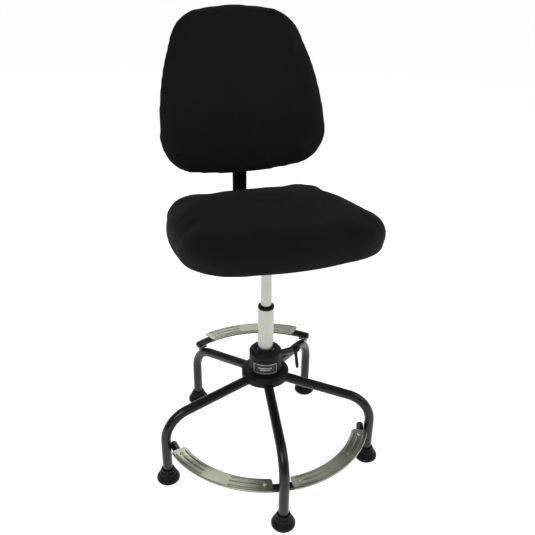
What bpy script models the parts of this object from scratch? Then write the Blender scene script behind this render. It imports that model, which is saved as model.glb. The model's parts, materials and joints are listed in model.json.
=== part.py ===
"""Drafting chair: a five-legged tube base with two foot rails, a clamped column with a
gas lift, a padded seat on a lift and tilt mechanism, and a padded back on a flat bar.

Metres, +Z up, the chair faces -Y. Azimuths turn from -Y towards +X.
"""

import math

import bmesh
import bpy
from mathutils import Matrix, Vector

# Place of the column axis, so that the origin is under the middle of the whole chair
AXIS_X = 0.014
AXIS_Y = 0.004
GAP = 0.0003            # left between two pieces that touch

# Base: legs
LEG_COUNT = 5
BASE_TURN = math.radians(-9.15)     # azimuth of the front leg
LEG_CIRCLE = 0.287                  # column axis to the upright part of a leg
LEG_RADIUS = 0.0127                 # 1 inch tube
LEG_WALL = 0.0016
LEG_APEX = 0.2556                   # height at which the sloping arms would meet the axis
LEG_SLOPE = math.radians(12.52)
LEG_BEND = 0.0785
LEG_SIDES = 14
FOOT_LIFT = 0.008                   # the tube's end above the floor, inside its glide

# Base: glides
GLIDE_RADIUS = 0.0300
GLIDE_HEIGHT = 0.0380
GLIDE_SHOULDER = 0.0200               # height of the step between foot and collar
GLIDE_COLLAR = 0.0178

# Base: hub
COLUMN_RADIUS = 0.0204
LINER_WALL = 0.0018
SLEEVE_WALL = 0.0026
HUB_BELOW = 0.0275                  # sleeve under the apex height
HUB_ABOVE = 0.0700                  # sleeve over the apex height
COVER_RADIUS = 0.0425
COVER_WALL = 0.0025
COVER_TOP = 0.0754                  # over the apex height
COVER_CHAMFER = 0.0065
FLANGE_RADIUS = 0.0625
FLANGE_DEPTH = 0.0245
FLANGE_BOTTOM = -0.0106             # over the apex height
BADGE_TURN = math.radians(-10.0)    # from the front leg
BADGE_HALF_ANGLE = math.radians(43.0)
BADGE_HEIGHT = 0.0275
BADGE_LEVEL = 0.0354                # middle of the badge over the apex height
BADGE_THICKNESS = 0.0012

# Base: clamp that holds the column
CLAMP_LEVEL = 0.0444                # over the apex height
BOSS_RADIUS = 0.0085
STUD_RADIUS = 0.0040
BOSS_PROUD = 0.0410                  # outside the cover
HANDLE_HEAD = 0.0175
HANDLE_REACH = 0.0676
HANDLE_LEAN = 0.0080

# Base: foot rails and treads
RAIL_RADIUS = 0.0100
RAIL_HEIGHT = 0.0990
RAIL_OVERHANG = math.radians(2.4)
SADDLE_HEIGHT = 0.0045
SADDLE_LENGTH = 0.0240
TREAD_WIDTH = 0.0420
TREAD_PLATE = 0.0015
TREAD_LIP = 0.0038
TREAD_SHORT_LOWER = math.radians(5.1)    # from the leg's azimuth to the tread's end
TREAD_SHORT_UPPER = math.radians(6.0)
SCREW_INSET = math.radians(4.3)
SCREW_SHANK = 0.0022
SCREW_HEAD = 0.0052
SCREW_TIP = 0.0060                       # sticks out under the rail

# Column and gas lift
COLUMN_WALL = 0.0018
COLUMN_LENGTH = 0.2246
COLUMN_ABOVE_MIDDLE = 0.0095         # its top over the middle between the hub cover and the seat's socket
COLUMN_FLOOR = 0.0030
COLUMN_RECESS = 0.0045
CAP_HEIGHT = 0.0070
CYLINDER_RADIUS = 0.0140
CYLINDER_WALL = 0.0022
CYLINDER_START = 0.0720                  # over the column's bottom
TAPER_LENGTH = 0.1050
TAPER_TOP_RADIUS = 0.0121
ROD_RADIUS = 0.0050
ROD_LENGTH = 0.1510
PISTON_RADIUS = 0.0112
BORE_LENGTH = 0.1500
BUTTON_RADIUS = 0.0040
BUTTON_RISE = 0.0065
BUTTON_TRAVEL = 0.0045
BUSH_LENGTH = 0.0580
RUNNING_GAP = 0.0004                     # around what slides or turns

# Seat, in a frame on the column axis that leans back with it
SEAT_TOP = 0.7340
SEAT_TILT = 0.105
SEAT_FRONT_Y = -0.2530
SEAT_DEPTH = 0.4660
SEAT_FRONT_WIDTH = 0.5080
SEAT_BACK_WIDTH = 0.4240
SEAT_FRONT_RADIUS = 0.1410
SEAT_BACK_RADIUS = 0.0950
SEAT_BOWS = (0.0080, 0.0040, 0.0080, 0.0130)   # right side, back, left side, front
SEAT_THICK = 0.0970
SEAT_DISH = 0.0060
PAN_THICK = 0.0120
PAN_INSET = 0.0460

# Mechanism under the seat
PLATE_THICK = 0.0030
PLATE_WIDTH = 0.2000
PLATE_DEPTH = 0.2300
PLATE_MIDDLE_Y = 0.0150
BOLT_X = 0.0850
BOLT_Y = 0.0900
BOLT_RADIUS = 0.0030
BOLT_HEAD = 0.0062
HOUSING_HALF_WIDTH = 0.0650
HOUSING_FRONT = -0.0750
HOUSING_BACK = 0.1260
HOUSING_DEPTH = 0.0500
HOUSING_WALL = 0.0025
SOCKET_WALL = 0.0035
SOCKET_BELOW = 0.0280                    # under the housing's floor
PIVOT_Y = 0.1080
PIVOT_DROP = 0.0310                      # pivot pin under the seat plate
PIN_RADIUS = 0.0050
BARREL_RADIUS = 0.0105
BARREL_HALF_LENGTH = 0.0260
SPRING_WIRE = 0.0014
SPRING_TURNS = 4
SPRING_LENGTH = 0.0200
LEVER_RADIUS = 0.0040
LEVER_REACH = 0.0850                     # out of the housing's side wall, short of the seat's edge
BACK_LEVER_Y = 0.0720
BACK_LEVER_INNER = 0.0300
GRIP_LENGTH = 0.0620
GRIP_HALF_WIDTH = 0.0130
GRIP_HALF_HEIGHT = 0.0060

# Back, in a frame at the middle of its lower edge that leans back with it
BACK_Y = 0.1820
BACK_RISE = 0.0320                       # its lower edge over the seat's top
BACK_TILT = 0.258
BACK_BOTTOM_WIDTH = 0.4740
BACK_TOP_WIDTH = 0.3060
BACK_HEIGHT = 0.3880
BACK_BOTTOM_RADIUS = 0.0930
BACK_TOP_RADIUS = 0.1030
BACK_BOWS = (0.0090, 0.0080, 0.0090, 0.0100)   # right side, top, left side, bottom
BACK_THICK = 0.0570
BACK_CURVE = 0.0350                      # how far the sides come forward
PAD_THICK = 0.0370
PAD_GAP = 0.0013                         # between the curved faces of pad, board and shell
BOARD_THICK = 0.0080
BOARD_INSET = 0.0200
SHELL_WALL = 0.0025
SHELL_INSET = 0.0110
SHELL_LIP = 0.0080                       # depth of its rim before it turns inwards
SHELL_DEPTH = 0.0310                     # middle plane to the rear of the back shell

# Back bar and its sleeve
BAR_WIDTH = 0.0380
BAR_THICK = 0.0060
BAR_Y = 0.2310                           # upright run behind the seat
BAR_OFFSET = 0.0420                      # behind the back's middle plane
BAR_TOP = 0.2600                         # along the back
BAR_BEND = 0.0400
BAR_KINK = 0.0800
SLEEVE_LOW = 0.0900
SLEEVE_LENGTH = 0.1100
SLIDE_WALL = 0.0030
SLIDE_GAP = 0.0005
KNOB_RADIUS = 0.0190
KNOB_DEPTH = 0.0200
KNOB_STEM = 0.0080
KNOB_LOBES = 7

ROUND = 26
SMALL_ROUND = 12

# Worked out from the sizes above
PAN_LEVEL = SEAT_TOP - SEAT_THICK
SLEEVE_BOTTOM = LEG_APEX - HUB_BELOW
SLEEVE_TOP = LEG_APEX + HUB_ABOVE
LINER_OUTER = COLUMN_RADIUS + RUNNING_GAP + LINER_WALL
SLEEVE_INNER = LINER_OUTER + GAP
SLEEVE_OUTER = SLEEVE_INNER + SLEEVE_WALL
CLAMP_Z = LEG_APEX + CLAMP_LEVEL
CLAMP_TURN = 1.5 * math.tau / LEG_COUNT         # midway between two legs
RAIL_CIRCLE = LEG_CIRCLE - LEG_RADIUS - GAP - RAIL_RADIUS
PLATE_BOTTOM = -GAP - PLATE_THICK               # in the seat frame
HOUSING_TOP = PLATE_BOTTOM - GAP
HOUSING_BOTTOM = HOUSING_TOP - HOUSING_DEPTH
CYLINDER_TOP = PAN_LEVEL + HOUSING_BOTTOM + 0.0080
SOCKET_BOTTOM = PAN_LEVEL + HOUSING_BOTTOM - SOCKET_BELOW
COLUMN_TOP = (LEG_APEX + COVER_TOP + SOCKET_BOTTOM) / 2 + COLUMN_ABOVE_MIDDLE
COLUMN_BOTTOM = COLUMN_TOP - COLUMN_LENGTH
CYLINDER_BOTTOM = COLUMN_BOTTOM + CYLINDER_START
TAPER_START = CYLINDER_TOP - TAPER_LENGTH
BUTTON_TOP = CYLINDER_TOP + BUTTON_RISE
PIVOT_Z = PLATE_BOTTOM - PIVOT_DROP
SOCKET_OUTER = CYLINDER_RADIUS + SOCKET_WALL

SEAT_FRAME = Matrix.Translation((0, 0, PAN_LEVEL)) @ Matrix.Rotation(-SEAT_TILT, 4, "X")
BUTTON_IN_SEAT = SEAT_FRAME.inverted() @ Vector((0, 0, BUTTON_TOP))
GAS_LEVER_Y = BUTTON_IN_SEAT.y
LEVER_Z = BUTTON_IN_SEAT.z + LEVER_RADIUS + 2 * GAP
BACK_Z = SEAT_TOP + BACK_RISE
BACK_FRAME = Matrix.Translation((0, BACK_Y, BACK_Z)) @ Matrix.Rotation(-BACK_TILT, 4, "X")
BASE_FRAME = Matrix.Rotation(BASE_TURN, 4, "Z")
OUTWARDS = Matrix.Rotation(math.pi / 2, 4, "X")     # turns a height into a reach towards -Y
SIDEWAYS = Matrix.Rotation(math.pi / 2, 4, "Y")     # turns a height into a place along X

FINISHES = {
    # name: colour, roughness, metallic
    "black_enamel": ((0.012, 0.012, 0.012), 0.22, 0.0),
    "black_plastic": ((0.015, 0.015, 0.015), 0.5, 0.0),
    "chrome": ((0.62, 0.62, 0.60), 0.18, 1.0),
    "zinc": ((0.55, 0.56, 0.50), 0.3, 1.0),
    "badge_plate": ((0.35, 0.36, 0.36), 0.4, 0.6),
    "nylon": ((0.6, 0.58, 0.52), 0.5, 0.0),
    "bare_steel": ((0.42, 0.42, 0.43), 0.35, 1.0),
    "seat_fabric": ((0.010, 0.010, 0.010), 0.95, 0.0),
    "plywood": ((0.45, 0.32, 0.19), 0.7, 0.0),
}


# ---------------------------------------------------------------- making meshes

def loft(rings, closed=False, first_pole=None, last_pole=None):
    """A skin over rings of equally many points, closed round or ended with caps."""
    bm = bmesh.new()
    loops = [[bm.verts.new(point) for point in points] for points in rings]
    pairs = list(zip(loops, loops[1:]))
    if closed:
        pairs.append((loops[-1], loops[0]))
    else:
        close_end(bm, loops[0], first_pole)
        close_end(bm, loops[-1], last_pole)
    for low, high in pairs:
        for i in range(len(low)):
            bm.faces.new((low[i - 1], low[i], high[i], high[i - 1]))
    bmesh.ops.recalc_face_normals(bm, faces=bm.faces)
    return bm


def close_end(bm, loop, pole):
    """One flat face, or a fan of triangles to a pole."""
    if pole is None:
        bm.faces.new(loop)
        return
    tip = bm.verts.new(pole)
    for i in range(len(loop)):
        bm.faces.new((loop[i - 1], loop[i], tip))


def turned(profile, sides=ROUND):
    """A solid turned about Z from a closed loop of (radius, height) points, with no face along the axis."""
    bm = bmesh.new()
    verts = [bm.verts.new((radius, 0, height)) for radius, height in profile]
    edges = []
    for a, b in zip(verts, verts[1:] + verts[:1]):
        if a.co.x > 0 or b.co.x > 0:
            edges.append(bm.edges.new((a, b)))
    bmesh.ops.spin(bm, geom=verts + edges, cent=(0, 0, 0), axis=(0, 0, 1), angle=math.tau, steps=sides)
    bmesh.ops.remove_doubles(bm, verts=bm.verts, dist=0.00001)
    bmesh.ops.recalc_face_normals(bm, faces=bm.faces)
    return bm


def rod(radius, start, end, sides=SMALL_ROUND):
    """A plain round bar along Z."""
    return turned([(0, start), (radius, start), (radius, end), (0, end)], sides)


def washer(inner, outer, start, end, sides=ROUND):
    """A plain ring or tube along Z."""
    return turned([(inner, start), (outer, start), (outer, end), (inner, end)], sides)


def block(x, y, z):
    """A box between pairs of limits along the three axes."""
    rings = [rectangle(x, y, height) for height in z]
    return loft(rings)


def rectangle(x, y, height):
    return [Vector((x[i], y[j], height)) for i, j in ((0, 0), (1, 0), (1, 1), (0, 1))]


def fillet(before, corner, after, radius, steps):
    """Points of the arc that rounds a corner."""
    back = (before - corner).normalized()
    ahead = (after - corner).normalized()
    half = back.angle(ahead) / 2
    centre = corner + (back + ahead).normalized() * radius / math.sin(half)
    start = (corner + back * radius / math.tan(half) - centre).normalized()
    end = (corner + ahead * radius / math.tan(half) - centre).normalized()
    return [centre + radius * start.slerp(end, i / steps) for i in range(steps + 1)]


def filleted(corners, radii, steps):
    """A path through corners, each inner one rounded."""
    path = [corners[0]]
    for before, corner, after, radius in zip(corners, corners[1:], corners[2:], radii):
        path += fillet(before, corner, after, radius, steps)
    return path + [corners[-1]]


def sweep_rings(path, across, section):
    """The section, given as (across, outward) offsets, set square on each point of a path."""
    rings = []
    for i, point in enumerate(path):
        ahead = path[min(i + 1, len(path) - 1)] - point
        behind = point - path[max(i - 1, 0)]
        tangent = (ahead.normalized() + behind.normalized()).normalized()
        normal = tangent.cross(across).normalized()
        rings.append([point + across * a + normal * b for a, b in section])
    return rings


def circle(radius, sides):
    angles = (math.tau * i / sides for i in range(sides))
    return [(radius * math.cos(angle), radius * math.sin(angle)) for angle in angles]


def around(radius, height, azimuth):
    """A point at a radius and azimuth about the column axis."""
    return Vector((radius * math.sin(azimuth), -radius * math.cos(azimuth), height))


def arc_path(radius, height, start, end, steps):
    return [around(radius, height, start + (end - start) * i / steps) for i in range(steps + 1)]


def outline(front, back, depth, front_radius, back_radius, bows):
    """A rounded trapezoid from y = 0 to y = depth with bowed sides: points and outward normals."""
    corners = [
        Vector((front / 2, 0, 0)),
        Vector((back / 2, depth, 0)),
        Vector((-back / 2, depth, 0)),
        Vector((-front / 2, 0, 0)),
    ]
    radii = (front_radius, back_radius, back_radius, front_radius)
    arcs = [fillet(corners[i - 1], corners[i], corners[(i + 1) % 4], radii[i], 6) for i in range(4)]
    points = []
    for i in range(4):
        points += arcs[i] + bowed(arcs[i][-1], arcs[(i + 1) % 4][0], bows[i])
    return points


def bowed(start, end, bow, steps=4):
    """Points between two ends of a side, pushed outwards along a parabola."""
    side = end - start
    out = Vector((side.y, -side.x, 0)).normalized()
    shares = [i / steps for i in range(1, steps)]
    return [start + side * t + out * bow * 4 * t * (1 - t) for t in shares]


def shrunk(points, inset):
    """A closed counter-clockwise outline moved inwards by inset."""
    result = []
    for i, point in enumerate(points):
        along = points[(i + 1) % len(points)] - points[i - 1]
        out = Vector((along.y, -along.x, 0)).normalized()
        result.append(point - out * inset)
    return result


def scaled(points, share):
    centre = sum(points, Vector()) / len(points)
    return [centre + (point - centre) * share for point in points]


# ---------------------------------------------------------------- placing objects

def make_material(name):
    colour, roughness, metallic = FINISHES[name]
    material = bpy.data.materials.new(name)
    material.use_nodes = True
    shader = material.node_tree.nodes["Principled BSDF"]
    shader.inputs["Base Color"].default_value = (*colour, 1)
    shader.inputs["Roughness"].default_value = roughness
    shader.inputs["Metallic"].default_value = metallic
    material.diffuse_color = (*colour, 1)
    return material


def make_object(name, bm, body, matrix):
    """An object whose parent is the empty of the body that it moves with."""
    mesh = bpy.data.meshes.new(name)
    bm.to_mesh(mesh)
    bm.free()
    obj = bpy.data.objects.new(name, mesh)
    bpy.context.collection.objects.link(obj)
    obj.parent = bodies[body]
    obj.matrix_world = bodies["chair"].matrix_world @ matrix
    return obj


def add(name, bm, finish, body, matrix=Matrix()):
    obj = make_object(name, bm, body, matrix)
    if finish not in bpy.data.materials:
        make_material(finish)
    obj.data.materials.append(bpy.data.materials[finish])
    obj.data.shade_smooth()
    obj.data.set_sharp_from_angle(angle=math.radians(35))
    return obj


def add_cutter(name, bm, body, matrix=Matrix()):
    obj = make_object(name, bm, body, matrix)
    obj.hide_render = True
    obj.display_type = "WIRE"
    return obj


def combine(obj, other, operation="DIFFERENCE"):
    modifier = obj.modifiers.new(other.name, "BOOLEAN")
    modifier.operation = operation
    modifier.object = other


def make_body(name, parent, matrix):
    """An empty on the joint's axis, placed in the chair's frame."""
    empty = bpy.data.objects.new(name, None)
    empty.empty_display_size = 0.05
    bpy.context.collection.objects.link(empty)
    empty.parent = bodies.get(parent)
    chair = bodies["chair"].matrix_world if parent else Matrix()
    empty.matrix_world = chair @ matrix
    bpy.context.view_layer.update()
    bodies[name] = empty


# ---------------------------------------------------------------- base

def make_legs():
    """Bent tubes, open at both ends: a sloping arm, one bend and an upright."""
    start = SLEEVE_OUTER + LEG_RADIUS * math.sin(LEG_SLOPE) + 2 * GAP
    corners = [
        Vector((0, -start, arm_height(start))),
        Vector((0, -LEG_CIRCLE, arm_height(LEG_CIRCLE))),
        Vector((0, -LEG_CIRCLE, FOOT_LIFT)),
    ]
    path = filleted(corners, [LEG_BEND], 6)
    across = Vector((1, 0, 0))
    outer = sweep_rings(path, across, circle(LEG_RADIUS, LEG_SIDES))
    inner = sweep_rings(path, across, circle(LEG_RADIUS - LEG_WALL, LEG_SIDES))
    for k in range(LEG_COUNT):
        leg = loft(outer + inner[::-1], closed=True)
        add(f"leg_{k + 1}", leg, "black_enamel", "base", leg_frame(k))


def arm_height(radius):
    """Height of a leg's centreline at a radius, along its sloping arm."""
    return LEG_APEX - radius * math.tan(LEG_SLOPE)


def leg_frame(k):
    return BASE_FRAME @ Matrix.Rotation(k * math.tau / LEG_COUNT, 4, "Z")


def make_glides():
    """Stepped bell feet that push on to the legs."""
    socket = LEG_RADIUS + RUNNING_GAP
    profile = [
        (0, 0),
        (GLIDE_RADIUS - 0.003, 0),
        (GLIDE_RADIUS, 0.004),
        (GLIDE_RADIUS, GLIDE_SHOULDER - 0.010),
        (GLIDE_RADIUS - 0.0055, GLIDE_SHOULDER),
        (GLIDE_COLLAR + 0.0045, GLIDE_SHOULDER + 0.0015),
        (GLIDE_COLLAR + 0.0030, GLIDE_HEIGHT - 0.0100),
        (GLIDE_COLLAR, GLIDE_HEIGHT - 0.0070),
        (GLIDE_COLLAR - 0.0010, GLIDE_HEIGHT),
        (socket, GLIDE_HEIGHT),
        (socket, FOOT_LIFT - GAP),
        (0, FOOT_LIFT - GAP),
    ]
    for k in range(LEG_COUNT):
        place = leg_frame(k) @ Matrix.Translation((0, -LEG_CIRCLE, 0))
        add(f"foot_glide_{k + 1}", turned(profile, 16), "black_plastic", "base", place)


def make_hub():
    """Steel sleeve that the legs are welded to, with the column's liner inside it."""
    sleeve = add("hub_sleeve", washer(SLEEVE_INNER, SLEEVE_OUTER, SLEEVE_BOTTOM, SLEEVE_TOP),
                 "black_enamel", "base")
    clamp = clamp_frame()
    stud_hole = add_cutter("stud_hole", rod(STUD_RADIUS + GAP, LINER_OUTER, SLEEVE_OUTER + 0.004),
                           "base", clamp @ OUTWARDS)
    combine(sleeve, stud_hole)
    add("hub_liner", washer(COLUMN_RADIUS + RUNNING_GAP, LINER_OUTER, SLEEVE_BOTTOM, SLEEVE_TOP),
        "nylon", "base")
    make_cover()
    make_badge()


def cover_profile():
    """Cylinder with a chamfered top over a wide lower flange, as one even shell."""
    mouth = COLUMN_RADIUS + 0.0020
    top = LEG_APEX + COVER_TOP
    low = LEG_APEX + FLANGE_BOTTOM
    shoulder = low + FLANGE_DEPTH
    wall = COVER_WALL
    under = SLEEVE_TOP + GAP
    return [
        (FLANGE_RADIUS - wall, low),
        (FLANGE_RADIUS, low),
        (FLANGE_RADIUS, shoulder - 0.0060),
        (FLANGE_RADIUS - 0.0020, shoulder - 0.0020),
        (FLANGE_RADIUS - 0.0070, shoulder),
        (COVER_RADIUS + 0.0015, shoulder + 0.0010),
        (COVER_RADIUS, shoulder + 0.0030),
        (COVER_RADIUS, top - COVER_CHAMFER),
        (COVER_RADIUS - COVER_CHAMFER, top),
        (mouth + 0.0015, top),
        (mouth, top - 0.0015),
        (mouth, max(under, top - wall - 0.0015)),
        (COVER_RADIUS - COVER_CHAMFER - 0.0010, max(under, top - wall - 0.0015)),
        (COVER_RADIUS - wall, top - COVER_CHAMFER - 0.0015),
        (COVER_RADIUS - wall, shoulder),
        (COVER_RADIUS + 0.0005, shoulder - wall),
        (FLANGE_RADIUS - wall - 0.0050, shoulder - wall),
        (FLANGE_RADIUS - wall, shoulder - 0.0070),
    ]


def make_cover():
    cover = add("hub_cover", turned(cover_profile(), 32), "black_plastic", "base")
    for k in range(LEG_COUNT):
        slope = Matrix.Rotation(LEG_SLOPE, 4, "X")
        place = leg_frame(k) @ Matrix.Translation((0, 0, LEG_APEX)) @ slope @ OUTWARDS
        notch = rod(LEG_RADIUS + 2 * GAP, FLANGE_RADIUS - 0.020, FLANGE_RADIUS + 0.020, LEG_SIDES)
        combine(cover, add_cutter(f"leg_notch_{k + 1}", notch, "base", place))
    boss_hole = rod(BOSS_RADIUS + 2 * GAP, COVER_RADIUS - 0.010, COVER_RADIUS + 0.010)
    combine(cover, add_cutter("boss_hole", boss_hole, "base", clamp_frame() @ OUTWARDS))


def make_badge():
    """Thin curved plate on the front of the cover."""
    inner = COVER_RADIUS + GAP
    half = BADGE_HEIGHT / 2
    section = [(-half, 0), (half, 0), (half, BADGE_THICKNESS), (-half, BADGE_THICKNESS)]
    path = arc_path(inner, LEG_APEX + BADGE_LEVEL, -BADGE_HALF_ANGLE, BADGE_HALF_ANGLE, 10)
    rings = sweep_rings(path, Vector((0, 0, 1)), section)
    add("hub_badge", loft(rings), "badge_plate", "base", BASE_FRAME @ Matrix.Rotation(BADGE_TURN, 4, "Z"))


def clamp_frame():
    """On the column axis at the clamp's height, with -Y along the clamp screw."""
    return BASE_FRAME @ Matrix.Rotation(CLAMP_TURN, 4, "Z") @ Matrix.Translation((0, 0, CLAMP_Z))


def make_clamp():
    """Threaded boss on the sleeve, and the lever whose stud presses on the liner."""
    place = clamp_frame() @ OUTWARDS
    boss_start = SLEEVE_OUTER + 2 * GAP
    boss_end = COVER_RADIUS + BOSS_PROUD
    add("clamp_boss", washer(STUD_RADIUS + GAP, BOSS_RADIUS, boss_start, boss_end, 20),
        "black_enamel", "base", place)
    head_start = boss_end + 2 * GAP
    head_end = head_start + HANDLE_HEAD
    stud_end = head_end - 0.005
    add("clamp_stud", rod(STUD_RADIUS, LINER_OUTER + GAP, stud_end), "bare_steel", "clamp", place)
    bore = STUD_RADIUS + GAP
    head = [
        (bore, head_start),
        (0.0095, head_start),
        (0.0105, head_start + 0.004),
        (0.0105, head_end - 0.004),
        (0.0080, head_end),
        (0, head_end),
        (0, stud_end + GAP),
        (bore, stud_end + GAP),
    ]
    handle = add("clamp_handle", turned(head, 18), "black_plastic", "clamp", place)
    middle = (head_start + head_end) / 2
    start = Vector((0, -middle, -0.0085))
    end = Vector((0, -middle - HANDLE_LEAN, -HANDLE_REACH))
    path = [start.lerp(end, share) for share in (0, 0.3, 0.7, 0.93)]
    across = Vector((1, 0, 0))
    radii = (0.0055, 0.0042, 0.0048, 0.0040)
    rings = [sweep_rings(path, across, circle(radius, 12))[i] for i, radius in enumerate(radii)]
    arm = add_cutter("handle_arm", loft(rings, last_pole=end), "clamp", clamp_frame())
    combine(handle, arm, "UNION")


def make_rails():
    """Two bent foot rails: one inside the three front legs, one on saddles over the two rear legs."""
    step = math.tau / LEG_COUNT
    make_rail("lower", RAIL_HEIGHT, -step, step, 14)
    make_rail("upper", upper_rail_height(), 2 * step, 3 * step, 10)
    make_treads("lower_tread_left", RAIL_HEIGHT, -step, 0, TREAD_SHORT_LOWER)
    make_treads("lower_tread_right", RAIL_HEIGHT, 0, step, TREAD_SHORT_LOWER)
    make_treads("upper_tread", upper_rail_height(), 2 * step, 3 * step, TREAD_SHORT_UPPER)
    make_saddles()


def bend_centre():
    """Radius and height of the centre of a leg's bend."""
    radius = LEG_CIRCLE - LEG_BEND
    tangent_radius = radius + LEG_BEND * math.sin(LEG_SLOPE)
    return radius, arm_height(tangent_radius) - LEG_BEND * math.cos(LEG_SLOPE)


def upper_rail_height():
    """Height at which the rail rests on the saddles, on the outside of the legs' bends."""
    radius, height = bend_centre()
    reach = LEG_BEND + LEG_RADIUS + SADDLE_HEIGHT + RAIL_RADIUS + 3 * GAP
    return height + math.sqrt(reach ** 2 - (RAIL_CIRCLE - radius) ** 2)


def make_rail(name, height, first_leg, last_leg, steps):
    between = arc_path(RAIL_CIRCLE, height, first_leg, last_leg, steps)
    start = around(RAIL_CIRCLE, height, first_leg - RAIL_OVERHANG)
    end = around(RAIL_CIRCLE, height, last_leg + RAIL_OVERHANG)
    path = [start] + between + [end]
    rings = sweep_rings(path, Vector((0, 0, 1)), circle(RAIL_RADIUS, 10))
    dome = RAIL_RADIUS * 0.5
    first = path[0] + (path[0] - path[1]).normalized() * dome
    last = path[-1] + (path[-1] - path[-2]).normalized() * dome
    ends = [dome_ring(rings[0], path[0], first), dome_ring(rings[-1], path[-1], last)]
    rings = [ends[0]] + rings + [ends[1]]
    shape = loft(rings, first_pole=first, last_pole=last)
    rail = add(f"{name}_rail", shape, "black_enamel", "base", BASE_FRAME)
    for azimuth in screw_azimuths(name):
        hole = rod(SCREW_SHANK + GAP, -2 * RAIL_RADIUS, 2 * RAIL_RADIUS, 10)
        place = BASE_FRAME @ Matrix.Translation(around(RAIL_CIRCLE, height, azimuth))
        combine(rail, add_cutter(f"{name}_rail_hole", hole, "base", place))


def dome_ring(ring, centre, tip):
    """The ring of a shallow dome between a rail's last ring and its tip."""
    return [centre.lerp(tip, 0.7) + (point - centre) * 0.7 for point in ring]


def screw_azimuths(name):
    step = math.tau / LEG_COUNT
    if name == "upper":
        inset = TREAD_SHORT_UPPER + SCREW_INSET
        return [2 * step + inset, 3 * step - inset]
    inset = TREAD_SHORT_LOWER + SCREW_INSET
    return [-step + inset, -inset, inset, step - inset]


def tread_section():
    """A shallow channel, lips down, as (height, outward) offsets from its underside."""
    half = TREAD_WIDTH / 2
    wall = TREAD_PLATE
    outer = [(-TREAD_LIP, half), (-0.0020, half), (wall, half - 0.0030)]
    inner = [(0, half - 0.0034), (-0.0026, half - wall), (-TREAD_LIP, half - wall)]
    left = [(a, -b) for a, b in outer[::-1]]
    inner_left = [(a, -b) for a, b in inner[::-1]]
    return outer + left + inner_left + inner


def make_treads(name, rail_height, first_leg, last_leg, short):
    """A zinc-plated tread on a rail, held by a screw near each end."""
    start = first_leg + short
    end = last_leg - short
    level = rail_height + RAIL_RADIUS + GAP
    path = arc_path(RAIL_CIRCLE, level, start, end, 9)
    rings = sweep_rings(path, Vector((0, 0, 1)), tread_section())
    tread = add(name, loft(rings), "zinc", "base", BASE_FRAME)
    for i, azimuth in enumerate((start + SCREW_INSET, end - SCREW_INSET)):
        place = BASE_FRAME @ Matrix.Translation(around(RAIL_CIRCLE, level, azimuth))
        hole = rod(SCREW_SHANK + GAP, -0.004, 0.004, 10)
        combine(tread, add_cutter(f"{name}_hole_{i + 1}", hole, "base", place))
        tip = -GAP - 2 * RAIL_RADIUS - SCREW_TIP
        top = TREAD_PLATE + GAP
        profile = [(0, tip), (SCREW_SHANK, tip + 0.001), (SCREW_SHANK, top), (SCREW_HEAD, top),
                   (SCREW_HEAD * 0.85, top + 0.0018), (0, top + 0.0030)]
        add(f"{name}_screw_{i + 1}", turned(profile, 12), "zinc", "base", place)


def make_saddles():
    """Small blocks between the rear legs and the upper rail."""
    radius, height = bend_centre()
    lean = math.asin((RAIL_CIRCLE - radius) / (LEG_BEND + LEG_RADIUS + SADDLE_HEIGHT + RAIL_RADIUS))
    half = SADDLE_LENGTH / 2
    low = LEG_BEND + LEG_RADIUS + GAP
    for name, k in (("saddle_right", 2), ("saddle_left", 3)):
        place = leg_frame(k) @ Matrix.Translation((0, -radius, height)) @ Matrix.Rotation(lean, 4, "X")
        saddle = block((-half, half), (-half * 0.5, half * 0.5), (low, low + SADDLE_HEIGHT))
        add(name, saddle, "black_enamel", "base", place)


# ---------------------------------------------------------------- column and gas lift

def make_column():
    bottom = COLUMN_BOTTOM
    inner = COLUMN_RADIUS - COLUMN_WALL
    rod_hole = ROD_RADIUS + RUNNING_GAP
    floor = bottom + COLUMN_RECESS
    profile = [
        (inner, bottom),
        (COLUMN_RADIUS, bottom),
        (COLUMN_RADIUS, COLUMN_TOP),
        (inner, COLUMN_TOP),
        (inner, floor + COLUMN_FLOOR),
        (rod_hole, floor + COLUMN_FLOOR),
        (rod_hole, floor),
        (inner, floor),
    ]
    add("column_tube", turned(profile), "chrome", "column")
    slide = CYLINDER_RADIUS + RUNNING_GAP
    add("guide_bush", washer(slide, inner - GAP, COLUMN_TOP - BUSH_LENGTH, COLUMN_TOP), "nylon", "column")
    low = COLUMN_TOP + GAP
    high = low + CAP_HEIGHT
    rim = COLUMN_RADIUS + 0.0004
    cap = [
        (slide, low),
        (rim, low),
        (rim, high - 0.0015),
        (rim - 0.0014, high),
        (slide + 0.0010, high),
        (slide, high - 0.0010),
    ]
    add("column_cap", turned(cap), "black_plastic", "column")
    seat_of_bearing = floor + COLUMN_FLOOR + GAP
    add("thrust_bearing", washer(rod_hole, 0.0140, seat_of_bearing, seat_of_bearing + 0.0050, 20),
        "bare_steel", "column")
    make_rod(seat_of_bearing + 0.0050 + GAP)


def make_rod(collar):
    """Piston rod that stands on the thrust bearing and is clipped under the column's floor."""
    bottom = COLUMN_BOTTOM + 0.0005
    top = bottom + ROD_LENGTH
    profile = [
        (0, bottom),
        (ROD_RADIUS, bottom),
        (ROD_RADIUS, collar),
        (0.0090, collar),
        (0.0090, collar + 0.0030),
        (ROD_RADIUS, collar + 0.0030),
        (ROD_RADIUS, top - 0.0080),
        (PISTON_RADIUS, top - 0.0080),
        (PISTON_RADIUS, top),
        (0, top),
    ]
    add("piston_rod", turned(profile, 20), "bare_steel", "rod")
    clip = COLUMN_BOTTOM + COLUMN_RECESS - GAP - 0.0016
    add("retaining_clip", washer(ROD_RADIUS + GAP, 0.0090, clip, clip + 0.0016, 20), "bare_steel", "rod")


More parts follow.
